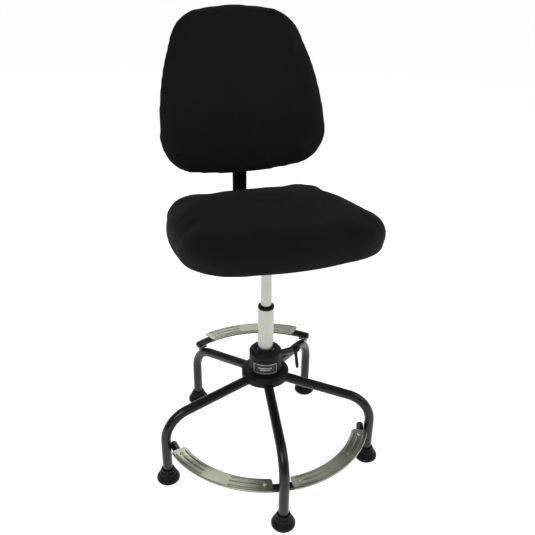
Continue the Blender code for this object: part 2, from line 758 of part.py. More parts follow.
def make_lift():
    """Gas cylinder with its tapered top and the release button in it."""
    bore = CYLINDER_RADIUS - CYLINDER_WALL
    bore_top = CYLINDER_BOTTOM + BORE_LENGTH
    button_hole = BUTTON_RADIUS + GAP
    button_floor = CYLINDER_TOP - 0.0160
    profile = [
        (ROD_RADIUS + RUNNING_GAP, CYLINDER_BOTTOM),
        (CYLINDER_RADIUS, CYLINDER_BOTTOM),
        (CYLINDER_RADIUS, TAPER_START),
        (TAPER_TOP_RADIUS, CYLINDER_TOP),
        (button_hole, CYLINDER_TOP),
        (button_hole, button_floor),
        (0, button_floor),
        (0, bore_top),
        (bore, bore_top),
        (bore, CYLINDER_BOTTOM + 0.0060),
        (ROD_RADIUS + RUNNING_GAP, CYLINDER_BOTTOM + 0.0060),
    ]
    add("gas_cylinder", turned(profile), "chrome", "seat")
    low = button_floor + BUTTON_TRAVEL + 2 * GAP
    button = [
        (0, low),
        (BUTTON_RADIUS, low),
        (BUTTON_RADIUS, BUTTON_TOP - 0.001),
        (BUTTON_RADIUS - 0.001, BUTTON_TOP),
        (0, BUTTON_TOP),
    ]
    add("release_button", turned(button, 12), "bare_steel", "button")
    make_socket()


def make_socket():
    """Tapered socket of the mechanism, standing on the cylinder's taper."""
    slope = (CYLINDER_RADIUS - TAPER_TOP_RADIUS) / TAPER_LENGTH
    top = CYLINDER_TOP - 0.0020
    low_bore = TAPER_TOP_RADIUS + slope * (CYLINDER_TOP - SOCKET_BOTTOM) + GAP
    high_bore = TAPER_TOP_RADIUS + slope * (CYLINDER_TOP - top) + GAP
    profile = [
        (low_bore, SOCKET_BOTTOM),
        (SOCKET_OUTER, SOCKET_BOTTOM),
        (SOCKET_OUTER, top),
        (high_bore, top),
    ]
    add("taper_socket", turned(profile), "black_enamel", "seat")


# ---------------------------------------------------------------- seat and mechanism

def seat_outline():
    points = outline(SEAT_FRONT_WIDTH, SEAT_BACK_WIDTH, SEAT_DEPTH,
                     SEAT_FRONT_RADIUS, SEAT_BACK_RADIUS, SEAT_BOWS)
    return [point + Vector((0, SEAT_FRONT_Y, 0)) for point in points]


def level(points, height):
    return [Vector((point.x, point.y, height)) for point in points]


def make_cushion():
    """Seat pad with fully rounded edges, slightly dished, on the pan."""
    edge = SEAT_THICK / 2
    rim = seat_outline()
    low = PAN_THICK + GAP
    first = math.asin((low - edge) / edge)
    rings = []
    for i in range(7):
        angle = first + (math.pi / 2 - first) * i / 6
        rings.append(level(shrunk(rim, edge * (1 - math.cos(angle))), edge + edge * math.sin(angle)))
    top = rings[-1]
    rings.append(level(scaled(top, 0.55), SEAT_THICK - 0.6 * SEAT_DISH))
    middle = sum(top, Vector()) / len(top)
    pole = Vector((middle.x, middle.y, SEAT_THICK - SEAT_DISH))
    add("seat_cushion", loft(rings, last_pole=pole), "seat_fabric", "seat", SEAT_FRAME)


def make_pan():
    """Moulded pan and the steel plate under it, with four bolts through both."""
    rim = shrunk(seat_outline(), PAN_INSET)
    pan = add("seat_pan", loft([level(rim, 0), level(rim, PAN_THICK)]), "black_plastic", "seat", SEAT_FRAME)
    y = (PLATE_MIDDLE_Y - PLATE_DEPTH / 2, PLATE_MIDDLE_Y + PLATE_DEPTH / 2)
    x = (-PLATE_WIDTH / 2, PLATE_WIDTH / 2)
    plate = add("seat_plate", block(x, y, (PLATE_BOTTOM, -GAP)), "black_enamel", "seat", SEAT_FRAME)
    head = PLATE_BOTTOM - GAP
    under = head - 0.0042
    end = PAN_THICK - 0.0010
    profile = [
        (0, under),
        (BOLT_HEAD * 0.8, under),
        (BOLT_HEAD, under + 0.0012),
        (BOLT_HEAD, head),
        (BOLT_RADIUS, head),
        (BOLT_RADIUS, end),
        (0, end),
    ]
    places = [(sx * BOLT_X, PLATE_MIDDLE_Y + sy * BOLT_Y) for sx in (-1, 1) for sy in (-1, 1)]
    for i, (bolt_x, bolt_y) in enumerate(places):
        place = SEAT_FRAME @ Matrix.Translation((bolt_x, bolt_y, 0))
        add(f"seat_bolt_{i + 1}", turned(profile, 12), "bare_steel", "seat", place)
        hole = add_cutter(f"bolt_hole_{i + 1}", rod(BOLT_RADIUS + GAP, -0.02, 0.03, 8), "seat", place)
        combine(pan, hole)
        combine(plate, hole)


def make_housing():
    """Pressed-steel channel, open upwards, with cut-outs for the socket, levers, pin and back bar."""
    wall = HOUSING_WALL
    x = (-HOUSING_HALF_WIDTH, HOUSING_HALF_WIDTH)
    y = (HOUSING_FRONT, HOUSING_BACK)
    inner_x = (x[0] + wall, x[1] - wall)
    inner_y = (y[0] + wall, y[1] - wall)
    rings = [
        rectangle(x, y, HOUSING_BOTTOM),
        rectangle(x, y, HOUSING_TOP),
        rectangle(inner_x, inner_y, HOUSING_TOP),
        rectangle(inner_x, inner_y, HOUSING_BOTTOM + wall),
    ]
    housing = add("mechanism_housing", loft(rings), "black_enamel", "seat", SEAT_FRAME)
    window_half = BAR_WIDTH / 2 + 0.004
    window = block((-window_half, window_half), (HOUSING_BACK - 0.01, HOUSING_BACK + 0.01),
                   (HOUSING_BOTTOM + 2 * wall, HOUSING_TOP + 0.01))
    slot = rod(LEVER_RADIUS + 0.0020, -0.01, 0.01)
    side = -HOUSING_HALF_WIDTH
    pin_hole = rod(PIN_RADIUS + GAP, -0.10, 0.10, 18)
    cuts = {
        "bar_window": (window, Matrix()),
        "gas_lever_slot": (slot, Matrix.Translation((side, GAS_LEVER_Y, LEVER_Z)) @ SIDEWAYS),
        "back_lever_slot": (slot.copy(), Matrix.Translation((side, BACK_LEVER_Y, LEVER_Z)) @ SIDEWAYS),
        "pin_hole": (pin_hole, Matrix.Translation((0, PIVOT_Y, PIVOT_Z)) @ SIDEWAYS),
    }
    for name, (shape, place) in cuts.items():
        combine(housing, add_cutter(name, shape, "seat", SEAT_FRAME @ place))
    socket_hole = rod(SOCKET_OUTER + 2 * GAP, SOCKET_BOTTOM, CYLINDER_TOP, ROUND)
    combine(housing, add_cutter("socket_hole", socket_hole, "seat"))


def make_pivot():
    """Pin that the back bar turns on, and the spring that pushes the back forward."""
    place = SEAT_FRAME @ Matrix.Translation((0, PIVOT_Y, PIVOT_Z)) @ SIDEWAYS
    length = HOUSING_HALF_WIDTH + 0.0040
    add("pivot_pin", rod(PIN_RADIUS, -length, length, 18), "bare_steel", "seat", place)
    radius = PIN_RADIUS + SPRING_WIRE + 0.0010
    steps = 8
    path = []
    for i in range(SPRING_TURNS * steps + 1):
        angle = math.tau * i / steps
        along = BARREL_HALF_LENGTH + 0.004 + SPRING_LENGTH * i / (SPRING_TURNS * steps)
        path.append(Vector((radius * math.cos(angle), radius * math.sin(angle), along)))
    rings = sweep_rings(path, Vector((0, 0, 1)), circle(SPRING_WIRE, 5))
    add("tilt_spring", loft(rings), "bare_steel", "seat", place)


def make_lever(name, y, inner):
    """Lever rod through a slot in the housing's side, with a moulded grip on its end."""
    outer = -HOUSING_HALF_WIDTH - LEVER_REACH
    place = SEAT_FRAME @ Matrix.Translation((0, y, LEVER_Z)) @ SIDEWAYS
    profile = [
        (0, outer),
        (LEVER_RADIUS - 0.0008, outer),
        (LEVER_RADIUS, outer + 0.0008),
        (LEVER_RADIUS, inner - 0.0020),
        (LEVER_RADIUS - 0.0020, inner),
        (0, inner),
    ]
    add(f"{name}_rod", turned(profile, 12), "black_enamel", name, place)
    place = SEAT_FRAME @ Matrix.Translation((0, y, LEVER_Z))
    add(f"{name}_grip", grip_shape(outer), "black_plastic", name, place)


def grip_shape(rod_end):
    """Flat oval paddle with a blind bore for the lever rod, towards -X."""
    mouth = rod_end + 0.0240
    tip = mouth - GRIP_LENGTH
    bore = LEVER_RADIUS + GAP
    stations = [
        # place along X, half width, half height
        (rod_end - GAP, bore, bore),
        (mouth, bore, bore),
        (mouth, 0.0070, GRIP_HALF_HEIGHT),
        (mouth - 0.020, 0.0085, GRIP_HALF_HEIGHT),
        (mouth - 0.035, GRIP_HALF_WIDTH, GRIP_HALF_HEIGHT * 0.75),
        (tip + 0.006, GRIP_HALF_WIDTH, GRIP_HALF_HEIGHT * 0.65),
        (tip, GRIP_HALF_WIDTH * 0.7, GRIP_HALF_HEIGHT * 0.4),
    ]
    rings = []
    for x, half_width, half_height in stations:
        rings.append([Vector((x, a * half_width, b * half_height)) for a, b in circle(1, 12)])
    return loft(rings)


# ---------------------------------------------------------------- back

def back_outline():
    return outline(BACK_BOTTOM_WIDTH, BACK_TOP_WIDTH, BACK_HEIGHT,
                   BACK_BOTTOM_RADIUS, BACK_TOP_RADIUS, BACK_BOWS)


def curved(points, depth):
    """Outline points stood up in the back's frame, their sides drawn forward."""
    half = BACK_BOTTOM_WIDTH / 2
    return [Vector((point.x, depth - BACK_CURVE * (point.x / half) ** 2, point.y)) for point in points]


def inner_rings(rim, depth, shares):
    """Rings that carry the curve across a broad face, and its middle point."""
    rings = [curved(scaled(rim, share), depth) for share in shares]
    middle = sum(rim, Vector()) / len(rim)
    return rings, Vector((middle.x, depth, middle.y))


def make_back_pad():
    edge = BACK_THICK / 2
    rim = back_outline()
    front = -edge
    flat = front + PAD_THICK
    rings = []
    last = math.asin(flat / edge)
    for i in range(6):
        angle = -math.pi / 2 + (last + math.pi / 2) * i / 5
        rings.append(curved(shrunk(rim, edge * (1 - math.cos(angle))), edge * math.sin(angle)))
    front_rings, front_pole = inner_rings(shrunk(rim, edge), front, (0.40, 0.75))
    rear_rim = shrunk(rim, edge * (1 - math.cos(last)))
    rear_rings, rear_pole = inner_rings(rear_rim, flat, (0.75, 0.40))
    pad = loft(front_rings + rings + rear_rings, first_pole=front_pole, last_pole=rear_pole)
    add("back_cushion", pad, "seat_fabric", "back", BACK_FRAME)


def make_board():
    """Curved inner board that the pad is built on."""
    start = -BACK_THICK / 2 + PAD_THICK + PAD_GAP
    rim = shrunk(back_outline(), BOARD_INSET)
    front_rings, front_pole = inner_rings(rim, start, (0.40, 0.75, 1))
    rear_rings, rear_pole = inner_rings(rim, start + BOARD_THICK, (1, 0.75, 0.40))
    board = loft(front_rings + rear_rings, first_pole=front_pole, last_pole=rear_pole)
    add("back_board", board, "plywood", "back", BACK_FRAME)


def make_shell():
    """Dished rear shell over the board, its rim against the pad."""
    start = -BACK_THICK / 2 + PAD_THICK + PAD_GAP
    rim = shrunk(back_outline(), SHELL_INSET)
    bend = start + SHELL_LIP
    outer = [
        curved(rim, start),
        curved(shrunk(rim, 0.0030), bend),
        curved(shrunk(rim, 0.0160), SHELL_DEPTH - 0.0030),
    ]
    outer_floor, outer_pole = inner_rings(shrunk(rim, 0.0160), SHELL_DEPTH, (0.75, 0.40))
    depth = SHELL_DEPTH - SHELL_WALL
    inner = [
        curved(shrunk(rim, SHELL_WALL), start),
        curved(shrunk(rim, 0.0030 + SHELL_WALL), bend),
        curved(shrunk(rim, 0.0180), depth - 0.0030),
    ]
    inner_floor, inner_pole = inner_rings(shrunk(rim, 0.0180), depth, (0.75, 0.40))
    rings = outer_floor[::-1] + outer[::-1] + inner + inner_floor
    shell = loft(rings, first_pole=outer_pole, last_pole=inner_pole)
    add("back_shell", shell, "black_plastic", "back", BACK_FRAME)


def make_bar():
    """Flat steel bar from the pivot, up behind the seat and along the back, with a barrel for the pin."""
    pivot = SEAT_FRAME @ Vector((0, PIVOT_Y, PIVOT_Z))
    lean = SEAT_FRAME.to_3x3() @ Vector((0, 1, 0))
    start = pivot + lean * (BARREL_RADIUS - 0.001)
    foot = pivot + lean * (BAR_Y - pivot.y) / lean.y
    up = BACK_FRAME.to_3x3() @ Vector((0, 0, 1))
    low = BACK_FRAME @ Vector((0, BAR_OFFSET, 0))
    kink = low + up * (BAR_Y - low.y) / up.y
    path = filleted([start, foot, kink, low + up * BAR_TOP], [BAR_BEND, BAR_KINK], 6)
    half = BAR_WIDTH / 2
    thick = BAR_THICK / 2
    section = [(-half, -thick), (half, -thick), (half, thick), (-half, thick)]
    bar = add("back_bar", loft(sweep_rings(path, Vector((1, 0, 0)), section)), "black_enamel", "back_frame")
    place = SEAT_FRAME @ Matrix.Translation((0, PIVOT_Y, PIVOT_Z)) @ SIDEWAYS
    barrel = rod(BARREL_RADIUS, -BARREL_HALF_LENGTH, BARREL_HALF_LENGTH, 18)
    combine(bar, add_cutter("bar_barrel", barrel, "back_frame", place), "UNION")
    hole = rod(PIN_RADIUS + RUNNING_GAP, -0.1, 0.1, 18)
    combine(bar, add_cutter("bar_hole", hole, "back_frame", place))


def make_sleeve():
    """Rectangular sleeve on the rear shell that slides on the bar, and its locking knob."""
    bore_x = (-BAR_WIDTH / 2 - SLIDE_GAP, BAR_WIDTH / 2 + SLIDE_GAP)
    bore_y = (BAR_OFFSET - BAR_THICK / 2 - SLIDE_GAP, BAR_OFFSET + BAR_THICK / 2 + SLIDE_GAP)
    front = SHELL_DEPTH + GAP
    x = (bore_x[0] - SLIDE_WALL, bore_x[1] + SLIDE_WALL)
    y = (front, bore_y[1] + SLIDE_WALL)
    low = SLEEVE_LOW
    high = SLEEVE_LOW + SLEEVE_LENGTH
    rings = [
        rectangle(x, y, low),
        rectangle(x, y, high),
        rectangle(bore_x, bore_y, high),
        rectangle(bore_x, bore_y, low),
    ]
    sleeve = add("back_sleeve", loft(rings, closed=True), "black_enamel", "back", BACK_FRAME)
    place = BACK_FRAME @ knob_place()
    hole = add_cutter("knob_hole", rod(STUD_RADIUS + GAP, -0.006, 0.010), "back", place)
    combine(sleeve, hole)
    add("height_knob", knob_shape(), "black_plastic", "knob", place)


def knob_place():
    """On the sleeve's rear face, with Z pointing backwards along the knob's screw."""
    face = BAR_OFFSET + BAR_THICK / 2 + SLIDE_GAP + SLIDE_WALL
    middle = SLEEVE_LOW + SLEEVE_LENGTH / 2
    return Matrix.Translation((0, face, middle)) @ Matrix.Rotation(-math.pi / 2, 4, "X")


def knob_shape():
    """Lobed knob on a stud whose tip stops just short of the bar."""
    sides = KNOB_LOBES * 4
    tip = -SLIDE_WALL - SLIDE_GAP + GAP
    stations = [
        # height, radius, depth of the lobes
        (tip, STUD_RADIUS, 0),
        (KNOB_STEM * 0.15, STUD_RADIUS, 0),
        (KNOB_STEM * 0.15, 0.0090, 0),
        (KNOB_STEM, 0.0095, 0),
        (KNOB_STEM + 0.0005, KNOB_RADIUS - 0.0020, 0.0015),
        (KNOB_STEM + 0.0030, KNOB_RADIUS, 0.0020),
        (KNOB_STEM + KNOB_DEPTH - 0.0040, KNOB_RADIUS, 0.0020),
        (KNOB_STEM + KNOB_DEPTH, KNOB_RADIUS - 0.0050, 0.0005),
    ]
    rings = []
    for height, radius, lobe in stations:
        ring = []
        for i in range(sides):
            angle = math.tau * i / sides
            r = radius + lobe * math.cos(KNOB_LOBES * angle)
            ring.append(Vector((r * math.cos(angle), r * math.sin(angle), height)))
        rings.append(ring)
    return loft(rings)


# ---------------------------------------------------------------- whole chair

def make_bodies():
    """Empties for the chair and for each group of pieces that moves together."""
    make_body("chair", None, Matrix.Translation((AXIS_X, AXIS_Y, 0)))
    make_body("base", "chair", BASE_FRAME)
    make_body("clamp", "base", clamp_frame())
    make_body("column", "chair", Matrix.Translation((0, 0, COLUMN_BOTTOM)))
    make_body("rod", "column", Matrix.Translation((0, 0, COLUMN_BOTTOM)))
    make_body("seat", "rod", Matrix.Translation((0, 0, CYLINDER_BOTTOM)))
    make_body("button", "seat", Matrix.Translation((0, 0, BUTTON_TOP)))
    for name, y in (("gas_lever", GAS_LEVER_Y), ("back_lever", BACK_LEVER_Y)):
        make_body(name, "seat", SEAT_FRAME @ Matrix.Translation((-HOUSING_HALF_WIDTH, y, LEVER_Z)))
    make_body("back_frame", "seat", SEAT_FRAME @ Matrix.Translation((0, PIVOT_Y, PIVOT_Z)))
    make_body("back", "back_frame", BACK_FRAME)
    make_body("knob", "back", BACK_FRAME @ knob_place())


def clear_scene():
    for obj in list(bpy.data.objects):
        bpy.data.objects.remove(obj)


clear_scene()
bodies = {}
make_bodies()
make_legs()
make_glides()
make_hub()
make_clamp()
make_rails()
make_column()
make_lift()
make_cushion()
make_pan()
make_housing()
make_pivot()
make_lever("gas_lever", GAS_LEVER_Y, LEVER_RADIUS)
make_lever("back_lever", BACK_LEVER_Y, -BACK_LEVER_INNER)
make_back_pad()
make_board()
make_shell()
make_bar()
make_sleeve()
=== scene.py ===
import json
import math

import bmesh
import bpy
from mathutils import Matrix, Vector

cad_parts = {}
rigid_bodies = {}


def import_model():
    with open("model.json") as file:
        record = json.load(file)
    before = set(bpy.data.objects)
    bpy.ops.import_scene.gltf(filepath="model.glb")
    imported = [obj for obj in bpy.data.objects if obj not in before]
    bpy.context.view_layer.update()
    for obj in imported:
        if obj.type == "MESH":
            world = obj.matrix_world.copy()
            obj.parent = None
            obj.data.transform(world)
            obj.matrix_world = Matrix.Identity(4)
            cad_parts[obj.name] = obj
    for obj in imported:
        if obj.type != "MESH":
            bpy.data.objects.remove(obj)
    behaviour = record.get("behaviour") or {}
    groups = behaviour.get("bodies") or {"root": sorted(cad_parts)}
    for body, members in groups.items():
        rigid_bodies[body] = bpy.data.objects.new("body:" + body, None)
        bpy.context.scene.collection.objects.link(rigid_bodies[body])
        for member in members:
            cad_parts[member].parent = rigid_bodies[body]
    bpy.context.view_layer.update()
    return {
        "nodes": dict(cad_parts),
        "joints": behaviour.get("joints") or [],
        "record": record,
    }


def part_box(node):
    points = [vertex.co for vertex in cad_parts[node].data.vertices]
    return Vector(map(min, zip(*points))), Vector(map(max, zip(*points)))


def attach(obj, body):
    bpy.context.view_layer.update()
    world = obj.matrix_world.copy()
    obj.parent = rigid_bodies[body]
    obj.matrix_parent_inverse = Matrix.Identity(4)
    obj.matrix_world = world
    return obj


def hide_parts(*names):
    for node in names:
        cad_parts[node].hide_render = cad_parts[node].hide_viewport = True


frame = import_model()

joints = {joint["name"]: joint for joint in frame["joints"]}
bodyOf = {node: body for body, nodes in frame["record"]["behaviour"]["bodies"].items() for node in nodes}
slotOf = {part["node"]: part["material_slot"] for part in frame["record"]["subparts"]}


def middle(node):
    low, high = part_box(node)
    return (low + high) / 2


axis = middle("gas_cylinder")
front = middle("foot_glide_1") - axis
baseTurn = math.atan2(front.x, -front.y)       # azimuth of the front leg, from -Y towards +X
legCount = 5
legStep = math.tau / legCount


def around(radius, height, azimuth):
    return Vector((axis.x + radius * math.sin(azimuth), axis.y - radius * math.cos(azimuth), height))


# camera and light

view = {"distance": 1.4291, "height": 1.2818, "turn": 19.18, "down": 26.438, "roll": 0.855,
        "lens": 43.54, "shift": (0.0015, -0.0034)}
light = {"sky": 0.22, "key": 34, "fill": 14, "back": 12, "paper": 0.80, "aim": 0.55}


def makeCamera():
    turn = math.radians(view["turn"])
    place = around(view["distance"], view["height"], -turn)
    lean = Matrix.Rotation(math.radians(90 - view["down"]), 4, "X")
    camera = bpy.data.objects.new("camera", bpy.data.cameras.new("camera"))
    bpy.context.scene.collection.objects.link(camera)
    camera.matrix_world = (Matrix.Translation(place) @ Matrix.Rotation(-turn, 4, "Z") @ lean
                           @ Matrix.Rotation(math.radians(view["roll"]), 4, "Z"))
    camera.data.lens = view["lens"]
    camera.data.shift_x, camera.data.shift_y = view["shift"]
    camera.data.clip_end = 200
    bpy.context.scene.camera = camera


def makeLight(name, place, size, power):
    lamp = bpy.data.lights.new(name, "AREA")
    lamp.shape = "DISK"
    lamp.size = size
    lamp.energy = power
    obj = bpy.data.objects.new(name, lamp)
    bpy.context.scene.collection.objects.link(obj)
    obj.location = place
    aim = Vector((0, 0, light["aim"]))
    obj.rotation_euler = (aim - Vector(place)).to_track_quat("-Z", "Y").to_euler()


makeCamera()
makeLight("keyLight", (-1.5, -1.6, 2.6), 1.6, light["key"])
makeLight("fillLight", (1.9, -1.1, 1.9), 1.8, light["fill"])
makeLight("backLight", (0.4, 2.2, 2.2), 1.5, light["back"])
world = bpy.data.worlds.new("studio")
world.use_nodes = True
world.node_tree.nodes["Background"].inputs["Color"].default_value = (1, 1, 1, 1)
world.node_tree.nodes["Background"].inputs["Strength"].default_value = light["sky"]
bpy.context.scene.world = world
bpy.context.scene.view_settings.view_transform = "Standard"
print("camera and light done")


# nodes of materials and of geometry trees

def feed(tree, socket, value):
    if isinstance(value, Wire):
        value = value.socket
    if isinstance(value, bpy.types.NodeSocket):
        tree.links.new(value, socket)
    else:
        socket.default_value = value


def addNode(tree, kind, settings, values):
    # a value's name is its socket's, or n and the socket's number
    node = tree.nodes.new(kind)
    for name, value in settings.items():
        setattr(node, name, value)
    for name, value in values.items():
        numbered = name[0] == "n" and name[1:].isdigit()
        feed(tree, node.inputs[int(name[1:]) if numbered else name.replace("_", " ")], value)
    return node


class Wire:
    def __init__(self, tree, socket):
        self.tree, self.socket = tree, socket

    def join(self, operation, first, second):
        node = addNode(self.tree, "ShaderNodeMath", {"operation": operation}, {"n0": first, "n1": second})
        return Wire(self.tree, node.outputs[0])

    def __add__(self, other):
        return self.join("ADD", self, other)

    def __radd__(self, other):
        return self.join("ADD", other, self)

    def __mul__(self, other):
        return self.join("MULTIPLY", self, other)

    def __rmul__(self, other):
        return self.join("MULTIPLY", other, self)


# finishes

class Finish:
    def __init__(self, name, **fixed):
        self.material = bpy.data.materials.new(name)
        self.material.use_nodes = True
        self.tree = self.material.node_tree
        self.shader = self.tree.nodes["Principled BSDF"]
        for socket, value in fixed.items():
            self.shader.inputs[socket.replace("_", " ")].default_value = value
        self.place = self.node("ShaderNodeTexCoord", output="Object")

    def node(self, kind, settings=None, output=0, **values):
        return Wire(self.tree, addNode(self.tree, kind, settings or {}, values).outputs[output])

    def noise(self, scale, detail=3, stretch=(1, 1, 1)):
        place = self.node("ShaderNodeMapping", Vector=self.place, Scale=stretch)
        return self.node("ShaderNodeTexNoise", Vector=place, Scale=scale, Detail=detail)

    def waves(self, direction, scale, **values):
        return self.node("ShaderNodeTexWave", {"bands_direction": direction}, output="Fac", Vector=self.place,
                         Scale=scale, **values)

    def colours(self, share, first, second):
        return self.node("ShaderNodeMix", {"data_type": "RGBA"}, output=2, n0=share,
                         n6=(*first, 1), n7=(*second, 1))

    def show(self, colour, rough, height=None, strength=0.3, depth=0.0005):
        feed(self.tree, self.shader.inputs["Base Color"], colour)
        feed(self.tree, self.shader.inputs["Roughness"], rough)
        if height is not None:
            bump = self.node("ShaderNodeBump", output="Normal", Height=height, Strength=strength,
                             Distance=depth)
            feed(self.tree, self.shader.inputs["Normal"], bump)
        return self.material


enamel = {"dark": (0.0030, 0.0030, 0.0026), "pale": (0.0070, 0.0070, 0.0060), "drift": 26, "peel": 900}
plastic = {"dark": (0.0035, 0.0035, 0.0034), "pale": (0.0080, 0.0080, 0.0074), "drift": 30, "grain": 1900}
fabric = {"dark": (0.0022, 0.0022, 0.0021), "pale": (0.0072, 0.0075, 0.0066), "threads": 230.0, "waver": 0.6,
          "fuzz": 1500, "shade": 9}
plywood = {"dark": (0.30, 0.19, 0.10), "pale": (0.56, 0.42, 0.27), "grain": 60, "plies": 120.0}
nylon = {"dark": (0.50, 0.48, 0.42), "pale": (0.64, 0.62, 0.56), "drift": 80}
field = {"dark": (0.004, 0.010, 0.008), "pale": (0.010, 0.030, 0.014), "fade": 60}


def makeEnamel():
    finish = Finish("glossEnamel", Specular_IOR_Level=0.38)
    drift = finish.noise(enamel["drift"])
    peel = finish.noise(enamel["peel"], 2)
    colour = finish.colours(drift, enamel["dark"], enamel["pale"])
    return finish.show(colour, 0.22 + drift * 0.12, peel, 0.04, 0.0002)


def makePlastic():
    finish = Finish("grainedPlastic", Specular_IOR_Level=0.16)
    grain = finish.noise(plastic["grain"], 4)
    drift = finish.noise(plastic["drift"])
    colour = finish.colours(drift, plastic["dark"], plastic["pale"])
    return finish.show(colour, 0.40 + grain * 0.22, grain, 0.22, 0.0003)


def makePlated(name, first, second, stretch, rough):
    finish = Finish(name, Metallic=1.0)
    streaks = finish.noise(300, 2, stretch)
    drift = finish.noise(22)
    return finish.show(finish.colours(drift, first, second), rough + streaks * 0.08)


def makeFabric():
    # threads cross over and under at the pitch of a plain upholstery weave
    finish = Finish("wovenFabric", Specular_IOR_Level=0.12, Sheen_Roughness=0.6, Sheen_Weight=0.015)
    warp, weft, rise = [finish.waves(direction, fabric["threads"], Distortion=fabric["waver"], Detail=1.0)
                        for direction in "XYZ"]
    fuzz = finish.noise(fabric["fuzz"], 2)
    shade = finish.noise(fabric["shade"], 2)
    weave = warp * 0.3 + weft * 0.3 + rise * 0.3 + fuzz * 0.3
    colour = finish.colours(weave * 0.6 + shade * 0.5, fabric["dark"], fabric["pale"])
    return finish.show(colour, 0.82 + fuzz * 0.16, weave, 0.45, 0.0006)


def makePlywood():
    finish = Finish("plywood")
    grain = finish.noise(plywood["grain"], 5, (0.08, 1, 1))
    plies = finish.waves("Z", plywood["plies"])
    colour = finish.colours(grain * 0.7 + plies * 0.3, plywood["dark"], plywood["pale"])
    return finish.show(colour, 0.62 + grain * 0.2, grain, 0.2, 0.0004)


def makeNylon():
    finish = Finish("nylon")
    drift = finish.noise(nylon["drift"])
    colour = finish.colours(drift, nylon["dark"], nylon["pale"])
    return finish.show(colour, 0.42 + drift * 0.15, drift, 0.1)


def makeField():
    finish = Finish("badgeField", Specular_IOR_Level=0.4)
    fade = finish.noise(field["fade"], 1)
    return finish.show(finish.colours(fade, field["dark"], field["pale"]), 0.35 + fade * 0.1)


finishes = {
    "black_enamel": makeEnamel(),
    "black_plastic": makePlastic(),
    "chrome": makePlated("satinChrome", (0.38, 0.39, 0.35), (0.48, 0.49, 0.44), (1, 1, 0.05), 0.26),
    "zinc": makePlated("zincPlate", (0.26, 0.27, 0.21), (0.37, 0.38, 0.31), (1, 1, 1), 0.26),
    "badge_plate": makePlated("badgeSilver", (0.40, 0.42, 0.42), (0.52, 0.54, 0.54), (1, 1, 1), 0.32),
    "nylon": makeNylon(),
    "bare_steel": makePlated("turnedSteel", (0.36, 0.36, 0.37), (0.48, 0.48, 0.49), (1, 1, 1), 0.30),
    "seat_fabric": makeFabric(),
    "plywood": makePlywood(),
}

print("finishes done")


# making meshes

sharpAngle = 35
weldGap = 0.000005
nearAxis = 1e-7


def addObject(name, mesh):
    obj = bpy.data.objects.new(name, mesh)
    bpy.context.scene.collection.objects.link(obj)
    return obj


def fromBmesh(name, bm, sharp=sharpAngle):
    bmesh.ops.recalc_face_normals(bm, faces=bm.faces)
    mesh = bpy.data.meshes.new(name)
    bm.to_mesh(mesh)
    bm.free()
    return smoothed(addObject(name, mesh), sharp)


def loft(name, rings, firstPole=None, lastPole=None, sharp=sharpAngle):
    bm = bmesh.new()
    loops = [[bm.verts.new(point) for point in ring] for ring in rings]
    for loop, pole in ((loops[0], firstPole), (loops[-1], lastPole)):
        if pole is None:
            bm.faces.new(loop)
        else:
            tip = bm.verts.new(pole)
            for i in range(len(loop)):
                bm.faces.new((loop[i - 1], loop[i], tip))
    for low, high in zip(loops, loops[1:]):
        for i in range(len(low)):
            bm.faces.new((low[i - 1], low[i], high[i], high[i - 1]))
    return fromBmesh(name, bm, sharp)


def fillet(before, corner, after, radius, steps):
    back, ahead = (before - corner).normalized(), (after - corner).normalized()
    half = back.angle(ahead) / 2
    centre = corner + (back + ahead).normalized() * radius / math.sin(half)
    start = (corner + back * radius / math.tan(half) - centre).normalized()
    end = (corner + ahead * radius / math.tan(half) - centre).normalized()
    return [centre + start.slerp(end, i / steps) * radius for i in range(steps + 1)]


def turned(name, profile, sides=96, place=None):
    # profile is a closed loop of (radius, height, rounding) corners
    place = place or Matrix.Translation((axis.x, axis.y, 0))
    corners = [Vector((radius, height, 0)) for radius, height, _ in profile]
    points = []
    for i, (radius, height, rounding) in enumerate(profile):
        if rounding > 0:
            points += fillet(corners[i - 1], corners[i], corners[(i + 1) % len(corners)], rounding, 4)
        else:
            points.append(corners[i])
    bm = bmesh.new()
    verts = [bm.verts.new((point.x, 0, point.y)) for point in points]
    neighbours = zip(verts, verts[1:] + verts[:1])
    edges = [bm.edges.new((a, b)) for a, b in neighbours if max(a.co.x, b.co.x) > nearAxis]
    bmesh.ops.spin(bm, geom=verts + edges, cent=(0, 0, 0), axis=(0, 0, 1), angle=math.tau, steps=sides)
    bmesh.ops.remove_doubles(bm, verts=bm.verts, dist=weldGap)
    bm.transform(place)
    return fromBmesh(name, bm, 32)


def finished(obj, nodes, material=None):
    # the piece stands for these nodes and rides with them
    obj.data.materials.clear()
    obj.data.materials.append(material or finishes[slotOf[nodes[0]]])
    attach(obj, bodyOf[nodes[0]])
    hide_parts(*nodes)
    return obj


def plainMesh(obj, name):
    # the evaluated shape as a mesh of its own, with the source removed
    mesh = bpy.data.meshes.new_from_object(obj.evaluated_get(bpy.context.evaluated_depsgraph_get()))
    bpy.data.objects.remove(obj)
    mesh.name = name
    return addObject(name, mesh)


def smoothed(obj, sharp=sharpAngle):
    obj.data.shade_smooth()
    obj.data.set_sharp_from_angle(angle=math.radians(sharp))
    return obj


